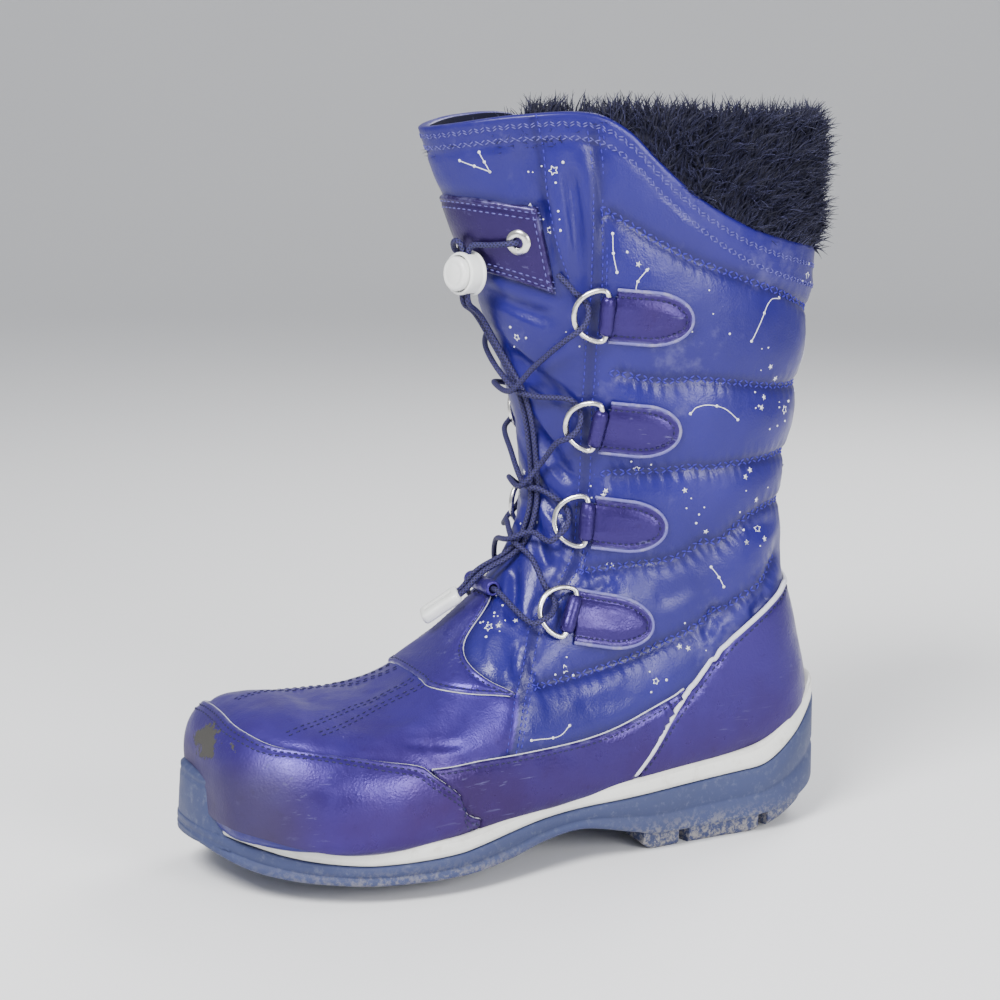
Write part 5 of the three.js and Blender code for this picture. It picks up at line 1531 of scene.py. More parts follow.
def make_outsole():
    line = Outline()
    wall, foot = layer(WALL), layer(STRIP_FOOT)
    sides = [
        line.ring(TREAD_INSET, wall),
        line.ring(1.4, lambda y: wall(y) + 0.1), line.ring(0.6, lambda y: wall(y) + 0.4),
        line.ring(0.15, lambda y: wall(y) + 1.0), line.ring(0, lambda y: wall(y) + 1.7),
        line.ring(0.1, lambda y: wall(y) * 0.62 + foot(y) * 0.38 - 0.3),
        line.ring(0.75, lambda y: wall(y) * 0.58 + foot(y) * 0.42 - 0.1),
        line.ring(0.75, lambda y: wall(y) * 0.52 + foot(y) * 0.48),
        line.ring(0.15, lambda y: wall(y) * 0.48 + foot(y) * 0.52 + 0.2),
        line.ring(0.2, lambda y: foot(y) - 1.4), line.ring(0.5, lambda y: foot(y) - 0.7),
        line.ring(1.2, lambda y: foot(y) - 0.35),
        line.ring(5, lambda y: foot(y) - 0.3), line.ring(6.4, lambda y: cup_floor(y) - 0.3),
    ]
    body = new_object("outsole_body", *line.closed(sides), finish("rubber"))
    settle(body, replaces=("outsole",))

    def lug(y):
        return np.maximum(0, layer(LUG)(y))

    slab = new_object("tread_lugs", *line.closed([
        line.ring(TREAD_INSET + 1.2, lug), line.ring(TREAD_INSET, lambda y: lug(y) + 1.4),
        line.ring(TREAD_INSET - 0.4, lambda y: wall(y) + 1.2),
    ]), finish("rubber"))
    tools = [block((-80, ARCH_BARE[0], -1), (80, ARCH_BARE[1], 30))]
    for y in CROSS_GROOVES:
        for angle in (GROOVE_SLANT, 180 - GROOVE_SLANT):
            turn = np.eye(4)
            c, s = math.cos(math.radians(angle)), math.sin(math.radians(angle))
            turn[:2, :2] = [[c, -s], [s, c]]
            turn[1, 3] = y
            tools.append(block((0, -GROOVE_HALF, -1), (80, GROOVE_HALF, height_at(WALL, y) + 0.2), turn))
    # a groove along the middle, ahead of the arch and behind it
    for low, high, x in ((-110, ARCH_BARE[0], -3), (ARCH_BARE[1], 112, 0)):
        top = max(height_at(WALL, low), height_at(WALL, high)) * 0.6
        tools.append(block((x - 3.5, low, -1), (x + 3.5, high, top)))
    for tool in tools:
        cut(slab, *tool)
    bevelled(slab, 0.6, 45)
    settle(slab)
    make_tread_ribs()
    make_bumper(line)


def make_tread_ribs():
    """Fine ribs on the foot of every lug, and raised bars under the arch."""
    parts = []
    for y in np.arange(-112, 118, RIB_PITCH):
        if ARCH_BARE[0] - 4 < y < ARCH_BARE[1] + 4 or min(abs(y - g) for g in CROSS_GROOVES) < 11:
            continue
        for side in (1, -1):
            inner, half = 7, float(sole_edge(np.array(y), side)) - TREAD_INSET - 5
            low = max(0, height_at(LUG, y))
            if half - inner < 8 or low > 0.01:
                continue
            start, end = sorted((side * inner, side * half))
            start, end = (start - 3, end - 3) if y < 0 else (start, end)
            waves = [[x, y + 0.9 * (1 if k % 2 else -1), low + 0.46] for k, x in
                     enumerate(np.linspace(start, end, max(4, int((end - start) / 4))))]
            parts.append(tube(spline(waves, 1.6), 0.45, 6)[:2])
    for y in np.arange(ARCH_BARE[0] + 6, ARCH_BARE[1] - 3, ARCH_BAR_PITCH):
        low = height_at(WALL, y)
        half = min(float(sole_edge(np.array(y), s)) for s in (1, -1)) - 12
        parts.append(tube(np.array([[x, y, low + 0.2] for x in np.linspace(-half, half, 12)]), 1.1, 8)[:2])
    settle(new_object("tread_ribs", *join(parts), finish("rubber")))


def make_bumper(line):
    """The band of rubber wrapped up over the toe tip, its sides drawn in."""
    u, v = np.meshgrid(np.linspace(-1, 1, 61), np.linspace(0, 1, 25))
    half = 35 - 11 * v - 3.2 * np.sin(math.pi * v)
    inset = 0.1 + 1.8 * v
    run = u * half
    loop = np.vstack([line.loop, line.loop[:1]])
    inward = np.vstack([line.inward, line.inward[:1]])
    length = np.append(line.run, line.total)
    place = np.mod(run, line.total)
    x, y = (np.interp(place, length, loop[:, k]) for k in (0, 1))
    nx, ny = (np.interp(place, length, inward[:, k]) for k in (0, 1))
    z = 18 + 26 * v - 0.9 * (u ** 2) * v * 2
    edge = np.minimum((1 - np.abs(u)) * half, (1 - v) * 26)
    lift = -1.5 * (1 - np.sqrt(1 - (1 - np.clip(edge / 1.5, 0, 1)) ** 2))
    lift -= 0.45 * hump(edge, 0.7, 3.1)
    top = np.stack([x + nx * (inset - lift), y + ny * (inset - lift), z], -1)
    under = np.stack([x + nx * (inset + 4), y + ny * (inset + 4), z], -1)
    points, faces = closed_sheet(top, under)
    settle(new_object("toe_bumper", points, faces, finish("rubber")))


def closed_sheet(top, under):
    """A grid of points over another of the same shape, joined round the rim."""
    rows, columns = top.shape[:2]
    n = rows * columns
    points = np.vstack([top.reshape(-1, 3), under.reshape(-1, 3)])
    faces = np.vstack([grid_faces(rows, columns), grid_faces(rows, columns, flip=True) + n]).tolist()
    loop = ([j for j in range(columns)] + [i * columns + columns - 1 for i in range(1, rows)]
            + [(rows - 1) * columns + j for j in range(columns - 2, -1, -1)]
            + [i * columns for i in range(rows - 2, 0, -1)])
    faces += [[a, a + n, b + n, b] for a, b in zip(loop, loop[1:] + loop[:1])]
    return points, faces


def make_strip():
    line = Outline()
    foot, top = layer(STRIP_FOOT), layer(STRIP_TOP)
    tucked = 1.6 * soft_step(line.from_tip, 31.0, 28.5)
    profile = [(9, 0, 0.4), (2, 0, 0.0), (1.15, 0, 0.05), (0.75, 0, 0.45), (0.62, 0, 1.1), (0.6, 0.5, 0),
               (0.8, 1, -1.4), (1.05, 1, -0.8), (1.5, 1, -0.35), (2.2, 1, -0.05), (3.2, 1, 0), (9, 1, -0.3)]
    rings, edge = [], []
    for inset, share, lift in profile:
        rings.append(line.ring(inset + tucked, lambda y: foot(y) * (1 - share) + top(y) * share + lift))
        edge.append(np.full(len(line.loop), min(abs(share) * 8, abs(1 - share) * 8)))
    faces = looped_faces(len(rings), len(line.loop))
    made = new_object("white_strip_ring", np.vstack(rings), faces, finish("strip"),
                      layers={"edge": np.concatenate(edge)})
    settle(made, replaces=("midsole",))


# ------------------------ the upper and its panels
ROLL_STEPS = 7


def make_shell(form):
    """The quilted outside, the rounded collar edge and the plush-lined inside, as one closed shell."""
    rows = list(form.points[:, :-1])
    turn = form.angles[-1, :-1]
    collar = collar_of(turn)
    inner_rows = []
    for k in range(1, ROLL_STEPS + 1):
        phase = math.pi * k / ROLL_STEPS
        wall = COLLAR_WALL / 2 * (1 - math.cos(phase))
        height = collar + 0.055 * math.sin(phase)
        p = section_point(height, turn, wall, wall, wall)
        if k < 5:
            p = p + form.normal[-1, :-1] * (form.relief[-1, :-1] * (1 - k / 5))[:, None]
        inner_rows.append(p)
    for share in (0.25, 0.6, 1.0):
        depth = collar - LINING_DEPTH * share
        inner_rows.append(section_point(depth, turn, COLLAR_WALL, COLLAR_WALL, COLLAR_WALL))
    for share in np.linspace(0, 1, 12):
        at = (collar - LINING_DEPTH) * (1 - share) + SHAFT_FOOT * share
        inner_rows.append(inner_point(at, turn))
    for at in (14, 13, 12, 11, 10, 9, 8, 7, 6, 5, 4, 3, 2.2, 1.6, 1, 0.6, 0.3):
        k = min(np.searchsorted(form.low, at), len(form.low) - 1)
        inner_rows.append(inner_point(at, form.angles[k, :-1]))
    every = np.array(rows + inner_rows)
    count, around = every.shape[:2]
    points = np.vstack([every.reshape(-1, 3), every[0].mean(0), every[-1].mean(0)])
    toe_pole = count * around
    layers = {}
    inner_count = len(inner_rows) * around + 2
    for name, values in form.layers.items():
        fill = 1.0 if name == "binding" else 0.0
        layers[name] = np.concatenate([values[:, :-1].ravel(), np.full(inner_count, fill)])
    made = new_object("quilted_upper", points, capped_faces(count, around), finish("skin"), layers=layers)
    made.data.materials.append(finish("lining"))
    inner_from = (len(rows) + 5) * around
    index = np.zeros(len(made.data.polygons), np.int32)
    for polygon in made.data.polygons:
        if min(polygon.vertices) >= inner_from and toe_pole not in polygon.vertices:
            index[polygon.index] = 1
    made.data.polygons.foreach_set("material_index", index)
    settle(made, replaces=("upper",))


def make_insole():
    """The felt insole on the floor of the foot's hollow."""
    at = np.linspace(0.9, 12.6, 70)
    rows = []
    for t in at:
        floor = inner_point(t, 0)
        height = floor[2] + 4
        widths = []
        for side in (1, -1):
            ring = inner_point(np.full(91, t), np.linspace(0, 90 * side, 91))
            widths.append(np.interp(height, ring[:, 2], np.abs(ring[:, 0])) - 0.2)
        x = np.linspace(-widths[1], widths[0], 31)
        sag = 0.6 * np.abs(np.linspace(-1, 1, 31)) ** 4
        rows.append(np.column_stack([x, np.full(31, floor[1]), np.full(31, height - 0.2) + sag]))
    top = np.array(rows)
    under = top - [0, 0, 3.4]
    made = new_object("felt_insole", *closed_sheet(top, under), finish("felt"))
    settle(made, replaces=("insole",))


def lay_piping(name, rows, radius, finish_name, sides=8):
    """Round piping along rows, half sunk."""
    parts = [tube(line + up * radius * 0.35, radius, sides) for line, up in rows]
    points, faces, uv = join(parts)
    return settle(new_object(name, points, faces, finish(finish_name), uv=uv))


def cap_marks(panel):
    """Attributes of the toe cap: where its coat is torn off and where it has gone dull."""
    p = panel.points.reshape(-1, 3)
    bare = np.zeros(len(p))
    for centre, size, depth in (((-2, -122, 54), (15, 8, 8), 1.25), ((12, -117, 56), (9, 6, 5), 1.0),
                                ((-26, -115, 55), (9, 6, 5), 0.9), ((24, -110, 51), (6, 6, 4), 0.62),
                                ((40, -84, 42), (3, 9, 2.2), 0.62)):
        gap = np.linalg.norm((p - centre) / size, axis=1)
        bare = np.maximum(bare, depth * np.exp(-gap ** 2))
    dull = soft_step(p[:, 2], 60, 44) * soft_step(p[:, 1], -92, -118)
    return bare, 0.8 * dull


def make_cap():
    foot = [[at, CAP_FOOT_TURN[i] if i < 3 else strip_angle(at)] for i, at in enumerate(CAP_FOOT)]
    cap = Panel(both_sides(foot, 180), both_sides(CAP_SEAM, 180), 240, 46, puff=0.25, edges="ute")
    points, faces = closed_sheet(cap.points, cap.under)
    bare, dull = cap_marks(cap)
    empty = np.zeros(len(bare))
    made = new_object("toe_cap_panel", points, faces, finish("cap"), layers={
        "edge": np.concatenate([cap.edge.ravel(), empty]),
        "bare": np.concatenate([bare, empty]), "dull": np.concatenate([dull, empty])})
    settle(made, replaces=("toe_cap",))
    rows = [cap.row(gap, "u", 1.0, 0.0) for gap in (2.3, 4.4)]
    stitches("toe_cap_stitches", rows, "thread_dark", 2.6, 1.9, 0.75)
    lay_piping("toe_cap_piping", [cap.row(0.15, "u", 1.2, -0.4)], 0.45, "piping")
    side_rows = [cap.row(0.3, edge, 1.2, -0.4) for edge in "te"]
    lay_piping("toe_cap_rear_piping", side_rows, 0.38, "piping")
    stitches("toe_cap_rear_stitches", [cap.row(2.4, edge, 1.0, 0.0) for edge in "te"],
             "thread_dark", 2.6, 1.9, 0.7)


def make_counter():
    foot = [[at, strip_angle(at) if i else 0] for i, at in enumerate(COUNTER_FOOT)]
    counter = Panel(both_sides(foot, 0), both_sides(COUNTER_SEAM, 0), 260, 46, puff=0.3, edges="ute")
    settle(counter.mesh("heel_counter_panel", finish("coated")), replaces=("heel_counter",))
    stitches("heel_counter_stitches", [counter.row(3.2, "u", 1.0, 0.0)],
             "thread_dark", 2.8, 2.0, 0.8)
    lay_piping("heel_counter_piping", [counter.row(0.5, "u", 1.2, -0.3)],
               1.05, "bold_piping", 10)


def under_neighbours(panel):
    """How far a side band dips to pass under the toe cap and the heel counter."""
    at, degrees = panel.place[..., 0], np.abs(panel.place[..., 1])
    held = np.zeros(at.shape, bool)
    foot = [[t, strip_angle(t) - 4] for t in COUNTER_FOOT]
    held |= inside(at, degrees, COUNTER_SEAM + foot[::-1])
    foot = [[t, CAP_FOOT_TURN[i] if i < 3 else strip_angle(t) - 4] for i, t in enumerate(CAP_FOOT)]
    held |= inside(at, degrees, CAP_SEAM + foot[::-1])
    return np.where(held, -2.4, 0.0)


def make_bands():
    for side, label in SIDES:
        foot = [[at, strip_angle(at) * side] for at in BAND_FOOT]
        band = Panel(foot, [[at, d * side] for at, d in BAND_SEAM], 150, 30,
                     puff=0.2, edges="u", relief=under_neighbours)
        settle(band.mesh("side_band_panel_" + label, finish("coated")),
               replaces=("side_band_" + label,))
        stitches("side_band_stitches_" + label, [band.row(2.4, "u", 1.0, 0.0)],
                 "thread_dark", 2.6, 1.9, 0.75)
        lay_piping("side_band_piping_" + label, [band.row(0.2, "u", 1.2, -0.4)], 0.45, "piping")


def guard_point(reach, lift=3.4):
    """A point on the axis of the lace tunnel."""
    return skin(9.9, 180.0, lift) + np.array([reach, 0, 0])


def make_guard():
    foot = [[f, d] for d, f, _ in GUARD_EDGE]
    top = [[t, d] for d, _, t in GUARD_EDGE]
    guard = Panel(both_sides(foot, 180), both_sides(top, 180), 200, 40, puff=0.35, edges="lu")
    settle(guard.mesh("tongue_guard_panel", finish("guard")), replaces=("tongue_guard",))
    half, bore, round_out, around = 11.0, 1.9, 3.1, 20
    end = [(-half, bore), (-half - 0.1, 2.6), (-half + 0.3, 3.0), (-half + 1.0, round_out)]
    middle = [(reach, round_out) for reach in np.linspace(-half + 2, half - 2, 14)]
    angle = np.linspace(0, 2 * math.pi, around, endpoint=False)
    rings = []
    for reach, radius in (*end, *middle, *((-reach, radius) for reach, radius in end[::-1]),
                          (half, bore), (0, bore), (-half, bore)):
        swell = radius * (1 + 0.05 * math.sin(reach * 1.1)) if radius > 3 else radius
        x, y, z = guard_point(reach)
        rings.append(np.column_stack([np.full(around, x), y + swell * np.cos(angle),
                                      z + swell * np.sin(angle)]))
    points = np.vstack(rings)
    faces = grid_faces(len(rings), around, closed=True)
    made = new_object("lace_tunnel", points, faces, finish("guard"),
                      layers={"edge": np.full(len(points), UNWORN)})
    settle(made)
    stitches("tongue_guard_stitches", [guard.row(2.3, "l", 1.0, 0.0), guard.row(2.2, "u", 1.0, 0.0)],
             "thread_dark", 2.4, 1.7, 0.7)
    lay_piping("tongue_guard_piping", [guard.row(0.15, "l", 1.2, -0.4), guard.row(0.15, "u", 1.2, -0.4)],
               0.4, "piping")


def make_patch():
    turns = np.linspace(*PATCH["edges"], 14)
    lower, upper = ([[PATCH[edge], a] for a in turns] for edge in ("from", "to"))
    patch = Panel(lower, upper, 130, 60, puff=0.25)
    settle(patch.mesh("lace_patch_panel", finish("patch")), replaces=("lace_patch",))
    rows = [patch.row(gap, edge, 1.0, 0.0) for edge in "ul" for gap in (2.2, 4.6)]
    rows += [patch.row(2.2, "t", 1.0, 0.0), patch.row(2.2, "e", 1.0, 0.0)]
    stitches("lace_patch_stitches", rows, "thread_pale", 2.7, 1.9, 0.6)
    lay_piping("lace_patch_edge", [patch.row(0.1, edge, 1.2, -0.7) for edge in "lu"],
               0.4, "tab_edge", 6)


# radius and height above the skin, from the bore's foot over the flange to the barrel's foot
EYELET_PROFILE = [
    (1.9, 1.0), (1.9, 2.6), (2.1, 2.95), (2.5, 3.1), (3.4, 3.1), (4.3, 2.85), (4.85, 2.4),
    (5.0, 2.0), (2.9, 1.6), (2.9, 0.4), (1.9, 0.4),
]


def make_eyelets():
    for label, place in EYELETS.items():
        foot, out = skin(*place), skin_normal(*place)
        turn = standing(out, foot)
        sides = 28
        angle = np.linspace(0, 2 * math.pi, sides, endpoint=False)
        rings = [np.column_stack([r * np.cos(angle), r * np.sin(angle), np.full(sides, h)])
                 for r, h in EYELET_PROFILE]
        made = new_object("eyelet_ring_" + label, put(np.vstack(rings), turn),
                          looped_faces(len(rings), sides), finish("metal"), sharp=50)
        settle(made, replaces=("eyelet_" + label,))
        # a dark cup in the lining's finish fills the bore: painted shade of the hole into the boot
        well = turned([(0, 0.3), (1.5, 0.3), (1.95, 0.5), (1.95, 1.1), (1.2, 0.9), (0, 0.8)], 20, turn)
        settle(new_object("eyelet_well_" + label, *well, finish("lining")))


# ------------------------ rings, tabs and the lace
# bar's y and z, round end's y and z in side view, and the bar's lean in degrees, from the top down
TABS = [(23, 212, 54, 209, 0), (24, 169, 52, 166, 4), (21.5, 131.5, 50, 128, 6), (11, 96.5, 44, 90, 26)]
# the wire's line, forward of the bar and up from its middle
RING_LINE = [[0, 0], [0, 7.6], [0.9, 9.3], [3.6, 9.6], [8, 7.9], [11.3, 4.4], [12.3, 0]]
THROUGH_RING = [[12.8, 8, -2], [9.6, 5.9, -2.7], [7.1, 2.2, -0.7], [7.5, -2.2, 1.3], [10.2, -5.6, 2.8],
                [13.6, -8.4, 2]]
CROSSINGS = [(15.5, 167, 6.9, 4.5), (12.7, 171, 6.9, 4.5), (11.1, 173, 6.9, 4.5)]
LEAVING = [(17.4, 133), (14.6, 147), (12, 153)]
ARRIVING = [(15.6, 145), (12.9, 154), (10.9, 146)]


# heights of a ring's bar and front above the skin, and how far ahead of the bar its front is
BAR_LIFT, FRONT_LIFT, RING_REACH = 3.6, 5.3, 12.5


class RingFrame:
    """Places about a ring: forward of its bar, up along it and out from the boot."""

    def __init__(self, row, side):
        bar_y, bar_z, _, _, lean = row
        angle = math.radians(lean)
        self.bar = side_point(bar_y, bar_z, side, BAR_LIFT)
        above = side_point(bar_y + 5 * math.sin(angle), bar_z + 5 * math.cos(angle), side, BAR_LIFT)
        self.up = unit(above - self.bar)
        y, front = bar_y, self.bar
        while np.linalg.norm(front - self.bar) < RING_REACH:
            y -= 0.25
            front = side_point(y, bar_z + (bar_y - y) * math.tan(angle) * 0.4, side, FRONT_LIFT)
        ahead = front - self.bar
        self.forward = unit(ahead - self.up * (ahead @ self.up))
        self.out = unit(np.cross(self.up, self.forward) * side)

    def at(self, f, h, n):
        return self.bar + self.forward * f + self.up * h + self.out * n


RING_FRAMES = [{side: RingFrame(row, side) for side in (1, -1)} for row in TABS]


def tab_sheet(row, side, count, rows, inset=0.0, thick=1.8, puff=0.0):
    """Grid of a tab's top: straight sides and a round end."""
    bar_y, bar_z, end_y, end_z, _ = row
    axis = np.array([end_y - bar_y, end_z - bar_z], float)
    long = np.linalg.norm(axis)
    across = unit(np.array([-axis[1], axis[0]]))
    share = np.linspace(0, 1, count)
    u = (1 - (1 - share) ** 1.7) * (1 - inset / long)
    v = np.linspace(-1, 1, rows)
    round_end = np.clip((u / (1 - inset / long) - 0.45) / 0.55, 0, 1)
    half = (10 - inset) * np.sqrt(1 - 0.995 * round_end ** 2)
    start = 2 / long
    run = start + (1 - start) * u
    y = bar_y + axis[0] * run[:, None] + across[0] * v[None] * half[:, None]
    z = bar_z + axis[1] * run[:, None] + across[1] * v[None] * half[:, None]
    at, degrees = place_at(y, z, side)
    base = section_point(at, degrees)
    out = skin_normal(at, degrees)
    edge = np.minimum((1 - np.abs(v))[None] * half[:, None], ((1 - u) * long)[:, None] * 1.2)
    lift = 0.5 + (thick - 0.1) * np.sqrt(1 - (1 - np.clip(edge / 1.0, 0, 1)) ** 2)
    lift = lift - 0.35 * hump(edge, 0.7, 3.0) + puff * soft_step(edge, 3.2, 7)
    return base, out, lift, edge


def make_tabs():
    for level, row in enumerate(TABS):
        for side, label in SIDES:
            base, out, lift, edge = tab_sheet(row, side, 56, 40, puff=0.6)
            top, under = base + out * lift[..., None], base - out * 0.2
            name = f"{label}_{level + 1}"
            points, faces = closed_sheet(top, under)
            layers = {"edge": np.concatenate([edge.ravel(), np.zeros(edge.size)])}
            settle(new_object("tab_pad_" + name, points, faces, finish("tab"), layers=layers),
                   replaces=("ring_tab_" + name,))
            rim = [tab_loop(row, side, inset) for inset in (0.15, 2.7)]
            lay_piping("tab_edging_" + name, [rim[0]], 0.7, "tab_edge")
            stitches("tab_stitches_" + name, [rim[1]], "thread_dark", 2.2, 1.6, 0.7)
            frame_at = RING_FRAMES[level][side]
            line = np.array([frame_at.at(0, h, 0) for h in np.linspace(-7.2, 7.2, 17)])
            radius = 2.95 - 0.9 * np.abs(np.linspace(-1, 1, 17)) ** 8 + 0.08 * np.sin(np.arange(17) * 2.1)
            points, faces, _ = tube(line, radius, 18)
            settle(new_object("tab_loop_" + name, points, faces, finish("tab"),
                              layers={"edge": np.full(len(points), UNWORN)}))


def tab_loop(row, side, inset):
    """A line round a tab, an inset in from its edge, open at the ring's end."""
    base, out, _, _ = tab_sheet(row, side, 40, 3, inset)
    loop = np.vstack([base[:, 0], base[::-1, -1]])
    ups = np.vstack([out[:, 0], out[::-1, -1]])
    both = evenly(np.hstack([loop + ups * (1.55 if inset < 1 else 2.05), ups]), 1.0)
    return both[:, :3], unit(both[:, 3:])


def make_rings():
    for level in range(len(TABS)):
        for side, label in SIDES:
            frame_at = RING_FRAMES[level][side]
            line = RING_LINE + [[f, -h] for f, h in RING_LINE[-2:0:-1]]
            curve = spline([frame_at.at(f, h, 0) for f, h in line], 0.9, closed=True)
            points, faces, uv = tube(curve, WIRE_RADIUS, 12, closed=True)
            name = f"{label}_{level + 1}"
            settle(new_object("wire_ring_" + name, points, faces, finish("metal"), uv=uv),
                   replaces=("d_ring_" + name,))


def on_side(degrees, side):
    """An angle of the lateral side, or its mirror image."""
    return 180 - (180 - degrees) * side


def strand(start_side):
    """The way of one strand of the lace, from under the patch down through the rings into the tunnel."""
    points = [skin(18.55, on_side(134.5, start_side), 1.9), skin(18.4, on_side(131, start_side), 2.2)]
    for level in range(len(TABS)):
        side = -start_side if level % 2 else start_side
        points += [RING_FRAMES[level][side].at(*local) for local in THROUGH_RING]
        if level < len(CROSSINGS):
            at, degrees, over, beneath = CROSSINGS[level]
            lift = over if (start_side > 0) == (level % 2 == 0) else beneath

            def halfway(place, to_side):
                turn = (on_side(place[1], to_side) + degrees) / 2
                return skin((place[0] + at) / 2, turn, (lift + 3.2) / 2)

            points += [halfway(LEAVING[level], side), skin(at, degrees, lift),
                       halfway(ARRIVING[level], -side)]
        else:
            points += [guard_point(side * x) for x in (14, 11, 4, -0.5)]
    return spline(points, 0.8)


def make_lace():
    parts = [tube(strand(side), CORD_RADIUS, 12) for side in (1, -1)]
    points, faces, uv = join(parts)
    settle(new_object("front_lace", points, faces, finish("cord"), uv=uv), replaces=("lace",))


# ------------------------ cord lock, cord end and hanging cords
LOCK_AXIS = unit(np.array([0.29, -0.95, 0.03]))
LOCK_TURN = standing(LOCK_AXIS, skin(18.2, 169.5, 5.4))
CLIP_RUN = unit(np.array([-0.35, -0.74, -0.56]))
CLIP_ACROSS = unit(np.cross(skin_normal(9.4, 181), CLIP_RUN))
CLIP_TURN = basis(CLIP_ACROSS, np.cross(CLIP_RUN, CLIP_ACROSS), CLIP_RUN, skin(9.4, 181.0, 7.6))
HANG = [[17.3, 177.5, 5.6], [16.6, 178.5, 2.8], [15.95, 174, 1.7], [15.4, 168, 1.6], [14.6, 167, 1.6],
        [13.8, 168, 1.6], [13, 168.5, 1.6], [12.3, 168.5, 1.6], [11.7, 169.5, 1.6], [11.1, 171.5, 1.8],
        [10.65, 175, 3.8], [10.25, 178, 7.2], [9.85, 179.5, 8.6]]


def in_lock(across, up, ahead):
    return put([[across, up, ahead]], LOCK_TURN)[0]


def in_clip(across, up, ahead):
    return put([[across, up, ahead]], CLIP_TURN)[0]


def cord_route(label, side):
    place = EYELETS[label]
    foot, out = skin(*place), skin_normal(*place)
    starts = {"near": [skin(18.9, 151.5, 5), skin(18.8, 159, 4.2)],
              "far": [np.array([-6.5, -22.3, 237.2]), np.array([-2.4, -23.4, 239.4])]}[label]
    return [foot + out * 0.6, foot + out * 4.2, *starts,
            *[in_lock(side * 1.5, up, 3.7) for up in (11, 5, -5, -11)],
            *[skin(at, degrees - side * 2.4, lift) for at, degrees, lift in HANG],
            in_clip(side * 1.9, 0, -3), in_clip(side * 1.9, 0, 2.7)]


def make_cords():
    """The two ends of the drawcord, from their eyelets through the lock down to the cord end."""
    for label, side, name in (("near", 1, "lateral"), ("far", -1, "medial")):
        line = eased(spline(cord_route(label, side), 1.0), 14)
        points, faces, uv = tube(line, CORD_RADIUS, 12)
        made = settle(new_object("hanging_cord_" + name, points, faces, finish("cord"), uv=uv),
                      replaces=("cord_" + name,))
        length = np.linalg.norm(np.diff(line, axis=0), axis=1).sum() * MM


# radius and height along the lock's axis
BARREL_PROFILE = [
    (0, 0), (7.6, 0), (8.3, 0.2), (8.6, 0.6), (8.5, 1.1), (8.15, 1.4), (8.1, 2), (8.1, 6.4), (7.9, 7.1),
    (7.45, 7.4), (6.95, 7.3), (6.8, 6.9), (6.8, 1.5), (6.5, 1.2), (0, 1.2),
]
PLUNGER_PROFILE = [
    (0, 3.4), (6.1, 3.4), (6.5, 3.7), (6.5, 8.6), (6.3, 9.2), (5.7, 9.7), (4.6, 9.8), (4.2, 9.62),
    (3.8, 9.8), (0, 9.95),
]
# half width of the slots for the two cords, and their heights in the barrel and in the plunger
SLOT_HALF, BARREL_SLOT, PLUNGER_SLOT = 3.4, (2.2, 5.2), (0, 7.0)


def make_lock():
    """The lock's barrel and its sprung plunger, both slotted for the two cords."""
    for name, profile, slot, edge, body, node in (
            ("lock_barrel", BARREL_PROFILE, BARREL_SLOT, 0.25, BODY, "cord_lock_body"),
            ("lock_plunger", PLUNGER_PROFILE, PLUNGER_SLOT, 0.2, BUTTON_BODY, "cord_lock_button")):
        made = new_object(name, *turned(profile, 56, LOCK_TURN), finish("plastic"), sharp=45)
        cut(made, *block((-SLOT_HALF, -20, slot[0]), (SLOT_HALF, 20, slot[1]), LOCK_TURN))
        bevelled(made, edge, 50)
        settle(made, body, replaces=(node,))


def make_cord_end():
    """The moulded bar that grips the ends of both cords."""
    long, half_wide, half_thick, levels, around = 17, 4.65, 2.45, 25, 40
    angle = np.linspace(0, 2 * math.pi, around, endpoint=False)
    c, n = np.cos(angle), np.sin(angle)
    rings = []
    for s in np.linspace(0, 1, levels):
        ease_in = math.sqrt(1 - (1 - min(s, 1 - s) * 2) ** 8)
        pinch = 1 - 0.07 * math.exp(-((s - 0.5) / 0.18) ** 2)
        x = half_wide * (0.78 + 0.22 * ease_in) * pinch * np.sign(c) * np.abs(c) ** 0.42
        y = half_thick * (0.72 + 0.28 * ease_in) * np.sign(n) * np.abs(n) ** 0.55
        rings.append(np.column_stack([x, y, np.full(around, s * long)]))
    points = np.vstack(rings + [[[0, 0, 0]], [[0, 0, long]]])
    bar = new_object("cord_end_bar", put(points, CLIP_TURN), capped_faces(levels, around),
                     finish("plastic"), sharp=50)
    for low, high in ((1.3, 4), (-4, -1.3)):
        cut(bar, *block((-0.7, low, 2.5), (0.7, high, 14.5), CLIP_TURN))
    bevelled(bar, 0.25, 50)
    settle(bar, replaces=("cord_end",))


# ------------------------ rows of stitches on the skin
def make_quilting(form):
    """Chains along the quilting lines, and stitches beside the quarter and pleat seams."""
    chains, seams = [], []
    for side in (1, -1):
        for table in CHAIN_ROWS.values():
            chains += [form.row(flipped(table, side), offset, 0.12) for offset in (-0.75, 0.75)]
        seams += [form.row(flipped(QUARTER_SEAM, side), offset * side, 0.1) for offset in (-2.0, 2.0, 3.6)]
        seams.append(form.row(flipped(PLEAT_SEAM, side), 1.5 * side, 0.1))
    stitches("quilting_chain", chains, "thread_panel", 2.6, 2.5, 0.72, slant=34)
    stitches("quarter_seam_stitches", seams, "thread_panel", 2.6, 1.8, 0.6)


def make_vamp_stitches(form):
    """Dashed decorative rows on the vamp, in pairs."""
    rows = []
    lines = [[[7.5, 162], [6.22, 161], [4.7, 142]], [[7.42, 171], [5.82, 166], [3.92, 141]],
             [[7.26, 185], [5.26, 193], [3.36, 182]], [[7.3, 196], [6.0, 200], [4.4, 218]]]
    for table in lines:
        for offset in (-1.1, 1.1):
            rows.append(form.row(table, offset, 0.1, 1.0))
    stitches("vamp_stitches", rows, "thread_dark", 3.0, 1.9, 0.5)


